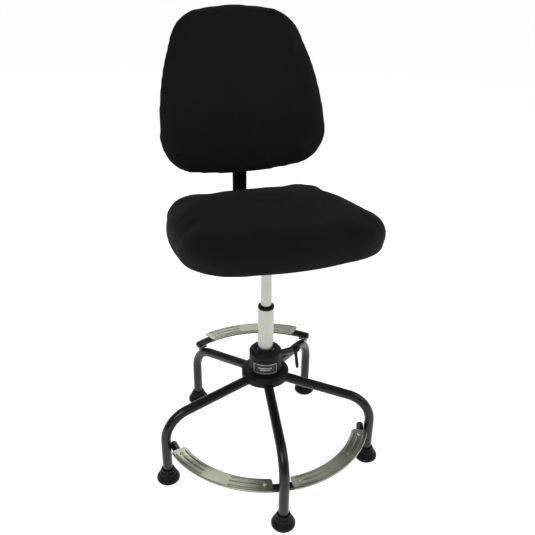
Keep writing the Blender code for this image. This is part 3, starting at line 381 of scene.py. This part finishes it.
class Tree:
    def __init__(self, name, sizes):
        self.tree = bpy.data.node_groups.new(name, "GeometryNodeTree")
        self.tree.interface.new_socket("Geometry", in_out="INPUT", socket_type="NodeSocketGeometry")
        self.ids = {}
        for size, kind in sizes.items():
            socket = self.tree.interface.new_socket(size, in_out="INPUT", socket_type=kind)
            self.ids[size] = socket.identifier
        self.tree.interface.new_socket("Geometry", in_out="OUTPUT", socket_type="NodeSocketGeometry")
        self.start = self.tree.nodes.new("NodeGroupInput")

    def size(self, name):
        return self.start.outputs[name]

    def node(self, kind, settings=None, output=0, **values):
        return addNode(self.tree, kind, settings or {}, values).outputs[output]

    def finish(self, geometry):
        whole = self.node("GeometryNodeRealizeInstances", Geometry=geometry)
        coated = self.node("GeometryNodeSetMaterial", Geometry=whole, Material=self.size("Material"))
        end = self.tree.nodes.new("NodeGroupOutput")
        self.tree.links.new(coated, end.inputs[0])

    def grow(self, source, name, **sizes):
        modifier = source.modifiers.new("shape", "NODES")
        modifier.node_group = self.tree
        for size, value in sizes.items():
            modifier[self.ids[size]] = value
        return smoothed(plainMesh(source, name))


def strand(name, lines):
    # points joined into open lines
    mesh = bpy.data.meshes.new(name)
    points, edges = [], []
    for line in lines:
        edges += [(len(points) + i, len(points) + i + 1) for i in range(len(line) - 1)]
        points += line
    mesh.from_pydata(points, edges, [])
    return addObject(name, mesh)


# base

leg = {"circle": 0.287, "radius": 0.0127, "apex": 0.2556, "slope": 12.52, "bend": 0.0785, "start": 0.0282,
       "foot": 0.0085, "bendSteps": 28, "sides": 44}


def makeLegs():
    slope = math.tan(math.radians(leg["slope"]))
    corners = [Vector((0, -r, h)) for r, h in (
        (leg["start"], leg["apex"] - leg["start"] * slope),
        (leg["circle"], leg["apex"] - leg["circle"] * slope),
        (leg["circle"], leg["foot"]))]
    tree = Tree("bentLegs", {"Radius": "NodeSocketFloat", "Bend": "NodeSocketFloat",
                             "Turn": "NodeSocketFloat", "Count": "NodeSocketInt",
                             "Material": "NodeSocketMaterial"})
    line = tree.node("GeometryNodeMeshToCurve", Mesh=tree.size("Geometry"))
    bent = tree.node("GeometryNodeFilletCurve", {"mode": "POLY"}, Curve=line, Count=leg["bendSteps"],
                     Radius=tree.size("Bend"), Limit_Radius=False)
    ring = tree.node("GeometryNodeCurvePrimitiveCircle", Resolution=leg["sides"], Radius=tree.size("Radius"))
    tube = tree.node("GeometryNodeCurveToMesh", Curve=bent, Profile_Curve=ring, Fill_Caps=True)
    points = tree.node("GeometryNodePoints", Count=tree.size("Count"))
    turn = tree.node("ShaderNodeMath", {"operation": "MULTIPLY_ADD"}, n0=tree.node("GeometryNodeInputIndex"),
                     n1=legStep, n2=tree.size("Turn"))
    rotation = tree.node("FunctionNodeEulerToRotation", Euler=tree.node("ShaderNodeCombineXYZ", Z=turn))
    legs = tree.node("GeometryNodeInstanceOnPoints", Points=points, Instance=tube, Rotation=rotation)
    tree.finish(tree.node("GeometryNodeTransform", Geometry=legs, Translation=(axis.x, axis.y, 0)))
    obj = tree.grow(strand("legLine", [corners]), "bentLegs", Radius=leg["radius"], Bend=leg["bend"],
                    Turn=baseTurn, Count=legCount, Material=finishes["black_enamel"])
    finished(obj, [f"leg_{k + 1}" for k in range(legCount)])


glide = {"radius": 0.0300, "height": 0.0380, "shoulder": 0.0200, "collar": 0.0178, "sole": 0.0077,
         "fit": 0.0004}


def makeGlides():
    r, h, c, step = glide["radius"], glide["height"], glide["collar"], glide["shoulder"]
    sole, socket = glide["sole"], leg["radius"] + glide["fit"]
    for k in range(legCount):
        place = Matrix.Translation(around(leg["circle"], 0, baseTurn + k * legStep))
        skirt = [(0, 0, 0), (r - 0.0030, 0, 0.0008), (r, 0.0040, 0.0016), (r, step - 0.0100, 0.0024),
                 (r - 0.0055, step, 0.0012)]
        neck = [(c + 0.0045, step + 0.0015, 0.0006), (c + 0.0030, h - 0.0100, 0.0014), (c, h - 0.0070, 0.0008),
                (c - 0.0010, h, 0.0010)]
        profile = skirt + neck + [(socket, h, 0), (socket, sole, 0), (0, sole, 0)]
        obj = turned(f"footGlide{k + 1}", profile, 72, place)
        finished(obj, [f"foot_glide_{k + 1}"])


cover = {"radius": 0.0425, "chamfer": 0.0065, "dish": 0.0285, "dishDepth": 0.0026, "mouth": 0.0224,
         "wall": 0.0025, "shoulder": 0.0245, "roof": 0.0045}


def makeCover():
    low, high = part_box("hub_cover")
    flange = (high.x - low.x) / 2
    top, foot, shoulder = high.z, low.z, low.z + cover["shoulder"]
    r, c, wall = cover["radius"], cover["chamfer"], cover["wall"]
    dish, dishFloor = cover["dish"], top - cover["dishDepth"]
    mouth, roof = cover["mouth"], top - cover["roof"]
    skirt = [(flange - wall, foot, 0), (flange, foot, 0.0008), (flange, shoulder - 0.0060, 0.0016),
             (flange - 0.0070, shoulder, 0.0040), (r, shoulder + 0.0012, 0.0012)]
    crown = [(r, top - c, 0.0016), (r - c, top, 0.0012), (dish, top, 0.0008), (dish - 0.0040, dishFloor, 0.0008),
             (mouth, dishFloor, 0.0003), (mouth, roof, 0)]
    inside = [(r - c - 0.0010, roof, 0), (r - wall, top - c - 0.0015, 0), (r - wall, shoulder - wall, 0),
              (flange - wall - 0.0050, shoulder - wall, 0), (flange - wall, shoulder - 0.0070, 0)]
    finished(turned("hubCover", skirt + crown + inside, 128), ["hub_cover"])


badge = {"turn": -10.0, "half": 43.0, "border": 0.0015, "proud": 0.0002, "corner": 0.0022, "back": 0.0003,
         "face": 0.0015, "sunk": 0.0003, "steps": 48, "bars": ((0.0030, 0.55), (-0.0025, 0.40)),
         "barHalf": 0.0012, "barCorner": 0.0008}


def cornerCut(corner, reach):
    # how far a rounded corner draws an edge in, this far along from its end
    return corner - math.sqrt(max(0, corner ** 2 - (corner - reach) ** 2)) if reach < corner else 0


def curvedPanel(name, inner, outer, middleHeight, halfHeight, azimuth, half, corner):
    rings = []
    for i in range(badge["steps"] + 1):
        share = i / badge["steps"]
        share = share * share * (3 - 2 * share)     # finer towards the rounded corners
        inset = min(share, 1 - share) * 2 * half * outer
        angle = azimuth + half * (2 * share - 1)
        tall = max(halfHeight - cornerCut(corner, inset), 0.0002)
        rings.append([around(radius, middleHeight + side * tall, angle)
                      for radius, side in ((inner, -1), (inner, 1), (outer, 1), (outer, -1))])
    return loft(name, rings)


def makeBadge():
    low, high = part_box("hub_badge")
    level, tall = (low.z + high.z) / 2, (high.z - low.z) / 2
    turn, half = baseTurn + math.radians(badge["turn"]), math.radians(badge["half"])
    inner, outer = cover["radius"] + badge["back"], cover["radius"] + badge["face"]
    finished(curvedPanel("badgePlate", inner, outer, level, tall, turn, half, badge["corner"]), ["hub_badge"])
    inset = badge["border"] / outer
    ground = curvedPanel("badgeField", outer - badge["sunk"], outer + badge["proud"], level,
                         tall - badge["border"], turn, half - inset, badge["corner"] * 0.6)
    onBadge(ground, makeField())
    for i, (rise, share) in enumerate(badge["bars"]):
        bar = curvedPanel(f"badgeBar{i + 1}", outer, outer + 2 * badge["proud"], level + rise, badge["barHalf"],
                          turn, half * share, badge["barCorner"])
        onBadge(bar, finishes["badge_plate"])


def onBadge(obj, material):
    obj.data.materials.append(material)
    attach(obj, "base")


rail = {"circle": 0.264, "radius": 0.0100, "overhang": 2.4, "dome": 0.0055, "steps": 96, "sides": 36}


def makeRail(name, node, first, last):
    height = middle(node).z
    start, end = first - math.radians(rail["overhang"]), last + math.radians(rail["overhang"])
    steps, sides, up = rail["steps"], rail["sides"], Vector((0, 0, 1))
    path = [around(rail["circle"], height, start + (end - start) * i / steps) for i in range(steps + 1)]
    # a domed end is a few shrinking rings past the path's own end
    near, far, dome = path[1] - path[0], path[-1] - path[-2], rail["dome"]
    stations = [(path[0], near, -dome * math.sin(a), math.cos(a)) for a in (1.25, 0.9, 0.5)]
    stations += [(path[i], path[min(i + 1, steps)] - path[max(i - 1, 0)], 0, 1) for i in range(steps + 1)]
    stations += [(path[-1], far, dome * math.sin(a), math.cos(a)) for a in (0.5, 0.9, 1.25)]
    rings = []
    for point, along, shift, share in stations:
        along = along.normalized()
        across = along.cross(up)
        centre = point + along * shift
        rings.append([centre + (across * math.cos(a) + up * math.sin(a)) * rail["radius"] * share
                      for a in (math.tau * i / sides for i in range(sides))])
    tips = [path[0] - near.normalized() * dome, path[-1] + far.normalized() * dome]
    finished(loft(name, rings, firstPole=tips[0], lastPole=tips[1], sharp=60), [node])


tread = {"width": 0.0420, "plate": 0.0015, "lip": 0.0038, "edge": 0.0022, "corner": 0.0085, "steps": 110,
         "short": {"lower": 5.1, "upper": 6.0}}
rib = {"offsets": (-0.0135, 0, 0.0135), "radius": 0.0030, "rise": 0.0014, "sideStart": 2.6, "middleStart": 6.0,
       "middleStop": 7.2, "steps": 40, "sides": 20, "taper": 14.0, "tip": 0.02}
screw = {"inset": 4.3, "head": 0.0052, "rise": 0.0030, "shank": 0.0022, "length": 0.0283, "cross": 0.0009,
         "crossArm": 0.0056, "crossDepth": 0.0013, "lift": 0.0003}


def treadSection():
    half, wall, lip, edge = tread["width"] / 2, tread["plate"], tread["lip"], tread["edge"]
    turn = [i * math.pi / 2 / 6 for i in range(7)]
    shares = (0.7, 0.35, 0, -0.35, -0.7)
    right = [(half, -lip)]
    right += [(half - edge + edge * math.cos(a), wall - edge + edge * math.sin(a)) for a in turn]
    flat = [(half * share, wall) for share in shares]
    inside = max(edge - wall, 0.0004)
    under = [(half - edge + inside * math.cos(a), -inside + inside * math.sin(a)) for a in turn[::-1]]
    under.append((half - wall, -lip))
    left = [(-a, b) for a, b in right[::-1]]
    underLeft = [(-a, b) for a, b in under[::-1]]
    underFlat = [(-half * share, 0) for share in shares]
    return right + flat + left + underLeft + underFlat + under


def makeTread(name, node, rise, first, last):
    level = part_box(node)[1].z - tread["plate"]
    short = math.radians(tread["short"][rise])
    start, end = first + short, last - short
    section, half, steps, rings = treadSection(), tread["width"] / 2, tread["steps"], []
    for i in range(steps + 1):
        share = (1 - math.cos(math.pi * i / steps)) / 2      # closer together at the ends
        reach = min(share, 1 - share) * (end - start) * rail["circle"]
        cut = cornerCut(tread["corner"], reach)
        azimuth = start + (end - start) * share
        rings.append([around(rail["circle"] + out * (half - cut) / half, level + up, azimuth)
                      for out, up in section])
    finished(loft(name, rings), [node])
    return start, end, level + tread["plate"]


def makeRibs(spans):
    lines, steps, stop = [], rib["steps"], math.radians(rib["middleStop"])
    for start, end, top in spans:
        centre = (start + end) / 2
        for offset in rib["offsets"]:
            inset = math.radians(rib["sideStart"] if offset else rib["middleStart"])
            for a, b in ((start + inset, centre - stop), (end - inset, centre + stop)):
                lines.append([around(rail["circle"] + offset, top, a + (b - a) * i / steps)
                              for i in range(steps + 1)])
    tree = Tree("pressedRibs", {"Radius": "NodeSocketFloat", "Rise": "NodeSocketFloat",
                                "Material": "NodeSocketMaterial"})
    line = tree.node("GeometryNodeMeshToCurve", Mesh=tree.size("Geometry"))
    share = tree.node("GeometryNodeSplineParameter", output="Factor")
    fromEnd = tree.node("ShaderNodeMath", {"operation": "PINGPONG"}, n0=share, n1=0.5)
    taper = tree.node("ShaderNodeMath", {"operation": "MULTIPLY", "use_clamp": True}, n0=fromEnd,
                      n1=rib["taper"])
    rounded = tree.node("ShaderNodeMath", {"operation": "POWER"}, n0=taper, n1=0.5)
    wide = tree.node("ShaderNodeMath", {"operation": "MAXIMUM"}, n0=rounded, n1=rib["tip"])
    sized = tree.node("GeometryNodeSetCurveRadius", Curve=line, Radius=wide)
    ring = tree.node("GeometryNodeCurvePrimitiveCircle", Resolution=rib["sides"], Radius=1.0)
    flatness = tree.node("ShaderNodeCombineXYZ", X=tree.size("Radius"), Y=tree.size("Rise"), Z=1.0)
    flat = tree.node("GeometryNodeTransform", Geometry=ring, Scale=flatness)
    tree.finish(tree.node("GeometryNodeCurveToMesh", Curve=sized, Profile_Curve=flat, Fill_Caps=True,
                          Scale=wide))
    obj = tree.grow(strand("ribLines", lines), "treadRibs", Radius=rib["radius"], Rise=rib["rise"],
                    Material=finishes["zinc"])
    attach(obj, "base")


def makeScrews(spans):
    inset, head, rise, shank = math.radians(screw["inset"]), screw["head"], screw["rise"], screw["shank"]
    cross, arm, low = screw["cross"], screw["crossArm"], -screw["length"]
    points = [around(rail["circle"], top + screw["lift"], azimuth)
              for start, end, top in spans for azimuth in (start + inset, end - inset)]
    dome = [(head * math.cos(a), rise * math.sin(a), 0) for a in (0.12, 0.45, 0.8, 1.15, 1.4)]
    point = [(0, low, 0), (0.0004, low, 0), (shank, low + 0.0015, 0.0002)]
    profile = point + [(shank, 0, 0), (head, 0, 0)] + dome + [(0, rise, 0)]
    shape = turned("screwShape", profile, 32, Matrix())
    cutters = []
    for x, y in ((cross, arm), (arm, cross)):
        rings = [[(a * x / 2, b * y / 2, z) for a, b in ((-1, -1), (1, -1), (1, 1), (-1, 1))]
                 for z in (rise - screw["crossDepth"], rise + 0.002)]
        cutter = loft("screwCross", rings)
        modifier = shape.modifiers.new("cross", "BOOLEAN")
        modifier.object, modifier.operation, modifier.solver = cutter, "DIFFERENCE", "EXACT"
        cutters.append(cutter)
    shape = plainMesh(shape, "screwShape")
    for cutter in cutters:
        bpy.data.objects.remove(cutter)
    tree = Tree("treadScrews", {"Screw": "NodeSocketObject", "Material": "NodeSocketMaterial"})
    source = tree.node("GeometryNodeObjectInfo", output="Geometry", Object=tree.size("Screw"))
    places = tree.node("GeometryNodeMeshToPoints", Mesh=tree.size("Geometry"))
    turn = tree.node("FunctionNodeRandomValue", {"data_type": "FLOAT"}, output=1, n2=0.0, n3=3.14, Seed=4)
    rotation = tree.node("FunctionNodeEulerToRotation", Euler=tree.node("ShaderNodeCombineXYZ", Z=turn))
    tree.finish(tree.node("GeometryNodeInstanceOnPoints", Points=places, Instance=source, Rotation=rotation))
    bright = makePlated("brightZinc", (0.70, 0.71, 0.68), (0.82, 0.83, 0.80), (1, 1, 1), 0.30)
    mesh = bpy.data.meshes.new("screwPlaces")
    mesh.from_pydata(points, [], [])
    obj = tree.grow(addObject("screwPlaces", mesh), "treadScrews", Screw=shape, Material=bright)
    bpy.data.objects.remove(shape)
    names = ("lower_tread_left", "lower_tread_right", "upper_tread")
    finished(obj, [f"{name}_screw_{i}" for name in names for i in (1, 2)], bright)


makeLegs()
makeGlides()
makeCover()
makeBadge()
makeRail("lowerRail", "lower_rail", baseTurn - legStep, baseTurn + legStep)
makeRail("upperRail", "upper_rail", baseTurn + 2 * legStep, baseTurn + 3 * legStep)
spans = [makeTread("lowerTreadLeft", "lower_tread_left", "lower", baseTurn - legStep, baseTurn),
         makeTread("lowerTreadRight", "lower_tread_right", "lower", baseTurn, baseTurn + legStep),
         makeTread("upperTread", "upper_tread", "upper", baseTurn + 2 * legStep, baseTurn + 3 * legStep)]
makeRibs(spans)
makeScrews(spans)
print("base done")


# column and lift

lift = {"column": 0.0204, "columnWall": 0.0018, "cylinder": 0.0140, "cylinderWall": 0.0022, "taper": 0.1050,
        "taperTop": 0.0121, "capWall": 0.0004, "socketWall": 0.0035, "slideGap": 0.0004, "taperGap": 0.0003,
        "rodHole": 0.0054, "buttonHole": 0.0043, "buttonDepth": 0.0160, "endWall": 0.006, "chamber": 0.15}


def turnedNode(node, name, profile):
    finished(turned(name, profile), [node])


def makeLift():
    low, high = [corner.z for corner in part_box("column_tube")]
    r, inner = lift["column"], lift["column"] - lift["columnWall"]
    turnedNode("column_tube", "columnTube",
               [(inner, low, 0), (r, low, 0.0004), (r, high, 0.0006), (inner, high, 0.0003)])
    low, high = [corner.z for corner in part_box("column_cap")]
    rim, slide = r + lift["capWall"], lift["cylinder"] + lift["slideGap"]
    turnedNode("column_cap", "columnCap",
               [(slide, low, 0), (rim, low, 0.0003), (rim, high, 0.0022), (slide, high, 0.0009)])
    low, top = [corner.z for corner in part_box("gas_cylinder")]
    r, inner = lift["cylinder"], lift["cylinder"] - lift["cylinderWall"]
    hole, bore = lift["buttonHole"], lift["rodHole"]
    depth, chamber = top - lift["buttonDepth"], low + lift["chamber"]
    outside = [(bore, low, 0), (r, low, 0.0008), (r, top - lift["taper"], 0), (lift["taperTop"], top, 0.0008)]
    inside = [(hole, top, 0.0003), (hole, depth, 0), (0, depth, 0), (0, chamber, 0), (inner, chamber, 0),
              (inner, low + lift["endWall"], 0), (bore, low + lift["endWall"], 0)]
    turnedNode("gas_cylinder", "gasCylinder", outside + inside)
    low, high = [corner.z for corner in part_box("taper_socket")]
    slope = (lift["cylinder"] - lift["taperTop"]) / lift["taper"]
    bores = [lift["taperTop"] + slope * (top - z) + lift["taperGap"] for z in (low, high)]
    outer = lift["cylinder"] + lift["socketWall"]
    turnedNode("taper_socket", "taperSocket",
               [(bores[0], low, 0), (outer, low, 0.0008), (outer, high, 0.0008), (bores[1], high, 0)])


makeLift()
print("lift done")


# copies of the frame's own pieces with worked edges

def copied(node):
    bm = bmesh.new()
    bm.from_mesh(frame["nodes"][node].data)
    bmesh.ops.remove_doubles(bm, verts=bm.verts, dist=0.00001)
    return bm


def eased(node, name, width):
    # edges broken by a small bevel
    bm = copied(node)
    bmesh.ops.dissolve_limit(bm, angle_limit=math.radians(1), verts=bm.verts, edges=bm.edges)
    obj = fromBmesh(name, bm)
    bevel = obj.modifiers.new("ease", "BEVEL")
    bevel.width, bevel.segments, bevel.limit_method, bevel.angle_limit = width, 3, "ANGLE", math.radians(40)
    finished(smoothed(plainMesh(obj, name)), [node])


def moulded(node, name, voxel, smoothing):
    # one soft skin, as a moulding has
    obj = fromBmesh(name, copied(node))
    remesh = obj.modifiers.new("skin", "REMESH")
    remesh.mode, remesh.voxel_size = "VOXEL", voxel
    smooth = obj.modifiers.new("soften", "SMOOTH")
    smooth.factor, smooth.iterations = 0.5, smoothing
    obj = plainMesh(obj, name)
    obj.data.shade_smooth()
    finished(obj, [node])


eased("clamp_boss", "clampBoss", 0.0006)
moulded("clamp_handle", "clampHandle", 0.0007, 6)
moulded("gas_lever_grip", "gasLeverGrip", 0.0008, 8)
moulded("back_lever_grip", "backLeverGrip", 0.0008, 8)
moulded("height_knob", "heightKnob", 0.0007, 5)
eased("mechanism_housing", "mechanismHousing", 0.0007)
eased("seat_plate", "seatPlate", 0.0006)
eased("back_bar", "backBar", 0.0009)
eased("back_sleeve", "backSleeve", 0.0008)
eased("gas_lever_rod", "gasLeverRod", 0.0004)
eased("back_lever_rod", "backLeverRod", 0.0004)
print("mechanism done")


# cushions, pan and shell

seat = {"frontWidth": 0.508, "backWidth": 0.424, "depth": 0.466, "frontRadius": 0.141, "backRadius": 0.095,
        "bows": (0.008, 0.004, 0.008, 0.013), "frontY": -0.253, "thick": 0.097, "level": 0.637,
        "pan": 0.012, "panInset": 0.046, "panGap": 0.0003, "held": 0.006, "start": 0.002, "crown": 0.002}
back = {"frontWidth": 0.474, "backWidth": 0.306, "depth": 0.388, "frontRadius": 0.093, "backRadius": 0.103,
        "bows": (0.009, 0.008, 0.009, 0.010), "thick": 0.057, "curve": 0.035, "pad": 0.037, "y": 0.186,
        "z": 0.766, "held": 0.005, "start": 0.002}
cushion = {"voxel": 0.006, "pressure": 4.0, "frames": 20, "stiffness": 30, "cap": 0.007, "smoothing": 14}
shell = {"inset": 0.011, "lip": 0.008, "depth": 0.031, "wall": 0.0025, "gap": 0.0013, "turnIn": 0.016,
         "steps": 10, "insideLip": 0.0055, "insideTurn": 0.018, "insideEase": 0.003}

tiltAxis = joints["gas_lever_pull"]["axis"]
slideAxis = joints["back_height"]["axis"]
seatLean = math.atan2(tiltAxis[2], tiltAxis[1])
backLean = math.atan2(slideAxis[1], slideAxis[2])
seatFrame = Matrix.Translation((axis.x, axis.y, seat["level"])) @ Matrix.Rotation(seatLean, 4, "X")
backFrame = Matrix.Translation((axis.x, back["y"], back["z"])) @ Matrix.Rotation(-backLean, 4, "X")


def outline(shape, steps=16):
    f, b, d = shape["frontWidth"] / 2, shape["backWidth"] / 2, shape["depth"]
    corners = [Vector(c) for c in ((f, 0, 0), (b, d, 0), (-b, d, 0), (-f, 0, 0))]
    radii = (shape["frontRadius"], shape["backRadius"], shape["backRadius"], shape["frontRadius"])
    arcs = [fillet(corners[i - 1], corners[i], corners[(i + 1) % 4], radii[i], steps) for i in range(4)]
    points = []
    for i in range(4):
        start, end = arcs[i][-1], arcs[(i + 1) % 4][0]
        side = end - start
        out = Vector((side.y, -side.x, 0)).normalized()
        points += arcs[i]
        for t in (k / 12 for k in range(1, 12)):
            points.append(start + side * t + out * shape["bows"][i] * 4 * t * (1 - t))
    return points


def shrunk(points, inset):
    result = []
    for i, point in enumerate(points):
        along = points[(i + 1) % len(points)] - points[i - 1]
        result.append(point - Vector((along.y, -along.x, 0)).normalized() * inset)
    return result


def scaled(points, share):
    centre = sum(points, Vector()) / len(points)
    return [centre + (point - centre) * share for point in points]


def curved(points, depth):
    half = back["frontWidth"] / 2
    return [Vector((point.x, depth - back["curve"] * (point.x / half) ** 2, point.y)) for point in points]


def inflated(obj, held):
    # the cover swells under pressure, and stays put where held says so
    remesh = obj.modifiers.new("skin", "REMESH")
    remesh.mode, remesh.voxel_size = "VOXEL", cushion["voxel"]
    name = obj.name
    obj = plainMesh(obj, name)
    rest = [vertex.co.copy() for vertex in obj.data.vertices]
    pins = obj.vertex_groups.new(name="held")
    pins.add([i for i, point in enumerate(rest) if held(point)], 1.0, "REPLACE")
    cloth = obj.modifiers.new("cover", "CLOTH")
    cloth.settings.use_pressure = True
    cloth.settings.uniform_pressure_force = cushion["pressure"]
    cloth.settings.effector_weights.gravity = 0
    cloth.settings.vertex_group_mass = "held"
    cloth.settings.quality = 4
    cloth.settings.tension_stiffness = cushion["stiffness"]
    cloth.settings.compression_stiffness = cushion["stiffness"]
    scene = bpy.context.scene
    for moment in range(cushion["frames"]):
        scene.frame_set(moment + 1)
    swollen = obj.evaluated_get(bpy.context.evaluated_depsgraph_get()).to_mesh()
    moves = [vertex.co - point for vertex, point in zip(swollen.vertices, rest)]
    farthest = max(move.length for move in moves)
    obj.modifiers.remove(cloth)
    obj.vertex_groups.clear()
    scene.frame_set(1)
    for vertex, point, move in zip(obj.data.vertices, rest, moves):
        vertex.co = point + move * min(1.0, cushion["cap"] / max(move.length, 1e-9))
    print(f"{name}: the cover moved up to {farthest * 1000:.1f} mm")
    smooth = obj.modifiers.new("settle", "SMOOTH")
    smooth.factor, smooth.iterations = 0.5, cushion["smoothing"]
    finer = obj.modifiers.new("finer", "SUBSURF")
    finer.levels = finer.render_levels = 1
    obj = plainMesh(obj, name)
    obj.data.shade_smooth()
    return obj


def fitted(obj, node, place):
    # stretched to the outline of the frame's own cushion
    inward = place.inverted()

    def reach(points):
        points = [inward @ point for point in points]
        return [(min(p[i] for p in points), max(p[i] for p in points)) for i in range(3)]

    now = reach([vertex.co for vertex in obj.data.vertices])
    goal = reach([vertex.co for vertex in frame["nodes"][node].data.vertices])
    for vertex in obj.data.vertices:
        point = inward @ vertex.co
        vertex.co = place @ Vector([b0 + (point[i] - a0) * (b1 - b0) / (a1 - a0)
                                    for i, ((a0, a1), (b0, b1)) in enumerate(zip(now, goal))])
    return obj


def makeSeat():
    edge, low = seat["thick"] / 2, seat["pan"] + seat["panGap"]
    whole = [point + Vector((0, seat["frontY"], 0)) for point in outline(seat)]
    rim = shrunk(whole, seat["start"])
    first, steps = math.asin((low - edge) / edge), 14
    rings = []
    for i in range(steps + 1):
        angle = first + (math.pi / 2 - first) * i / steps
        level = edge + (edge - seat["start"]) * math.sin(angle)
        rings.append([Vector((p.x, p.y, level)) for p in shrunk(rim, edge * (1 - math.cos(angle)))])
    for point in rings[0]:
        point.z = low
    top = rings[-1]
    for share, rise in ((0.8, 0.0012), (0.5, 0.003), (0.25, 0.0038)):
        rings.append([p + Vector((0, 0, rise)) for p in scaled(top, share)])
    pole = sum(top, Vector()) / len(top) + Vector((0, 0, seat["crown"]))
    rings = [[seatFrame @ p for p in ring] for ring in rings]
    obj = loft("seatCushion", rings, lastPole=seatFrame @ pole)
    inward = seatFrame.inverted()
    obj = inflated(obj, lambda point: (inward @ point).z < low + seat["held"])
    finished(fitted(obj, "seat_cushion", seatFrame), ["seat_cushion"])
    makePan(shrunk(whole, seat["panInset"]))


def makePan(rim):
    # the board under the cushion, with both its edges eased
    thick = seat["pan"]
    edges = ((0, 0.002), (0.0006, 0.0006), (0.002, 0), (thick - 0.002, 0), (thick - 0.0006, 0.0006),
             (thick, 0.002))
    rings = [[seatFrame @ Vector((p.x, p.y, z)) for p in shrunk(rim, inset)] for z, inset in edges]
    finished(loft("seatPan", rings), ["seat_pan"])


def panel(name, rings, firstPole, lastPole):
    rings = [[backFrame @ p for p in ring] for ring in rings]
    return loft(name, rings, backFrame @ firstPole, backFrame @ lastPole)


def inner(rim, depth, shares):
    centre = sum(rim, Vector()) / len(rim)
    return [curved(scaled(rim, share), depth) for share in shares], Vector((centre.x, depth, centre.y))


def makeBack():
    edge = back["thick"] / 2
    rim = shrunk(outline(back), back["start"])
    flat = -edge + back["pad"]
    last, steps = math.asin(flat / edge), 12
    rings = []
    for i in range(steps + 1):
        angle = -math.pi / 2 + (last + math.pi / 2) * i / steps
        depth = (edge - (back["start"] if angle < 0 else 0)) * math.sin(angle)
        rings.append(curved(shrunk(rim, edge * (1 - math.cos(angle))), depth))
    fronts, frontPole = inner(shrunk(rim, edge), -edge + back["start"], (0.25, 0.5, 0.75))
    rears, rearPole = inner(shrunk(rim, edge * (1 - math.cos(last))), flat, (0.75, 0.5, 0.25))
    obj = panel("backCushion", fronts + rings + rears, firstPole=frontPole, lastPole=rearPole)
    inward = backFrame.inverted()

    def held(point):
        local = inward @ point
        return local.y + back["curve"] * (local.x / (back["frontWidth"] / 2)) ** 2 > flat - back["held"]

    obj = inflated(obj, held)
    finished(fitted(obj, "back_cushion", backFrame), ["back_cushion"])


def makeShell():
    start = -back["thick"] / 2 + back["pad"] + shell["gap"]
    rim = shrunk(outline(back), shell["inset"])
    lip, wall, depth, steps = start + shell["lip"], shell["wall"], shell["depth"], shell["steps"]
    outer = [curved(rim, start)]
    for i in range(steps + 1):
        angle = math.pi / 2 * i / steps
        inset = shell["turnIn"] * (1 - math.cos(angle))
        rise = lip + (depth - start - shell["lip"]) * math.sin(angle)
        outer.append(curved(shrunk(rim, inset), rise))
    fronts, outerPole = inner(shrunk(rim, shell["turnIn"]), depth, (0.75, 0.5, 0.25))
    narrow = shrunk(rim, shell["insideTurn"])
    inside = [curved(shrunk(rim, wall), start), curved(shrunk(rim, shell["insideLip"]), lip),
              curved(narrow, depth - wall - shell["insideEase"])]
    backs, innerPole = inner(narrow, depth - wall, (0.75, 0.5, 0.25))
    rings = fronts[::-1] + outer[::-1] + inside + backs
    finished(panel("backShell", rings, firstPole=outerPole, lastPole=innerPole), ["back_shell"])


makeSeat()
makeBack()
makeShell()
print("cushions done")


# what is still the frame's own mesh

for name, node in frame["nodes"].items():
    node.data.materials.clear()
    node.data.materials.append(finishes[slotOf[name]])

floorHalf = 60
corners = [(x * floorHalf, y * floorHalf, 0) for x, y in ((-1, -1), (1, -1), (1, 1), (-1, 1))]
floorMesh = bpy.data.meshes.new("floor")
floorMesh.from_pydata(corners, [], [(0, 1, 2, 3)])
floor = addObject("floor", floorMesh)
paper = Finish("palePaper", Roughness=1.0, Base_Color=(0.82, 0.82, 0.82, 1), Specular_IOR_Level=0.0,
               Emission_Color=(1, 1, 1, 1), Emission_Strength=light["paper"])
floorMesh.materials.append(paper.material)

print("all done")
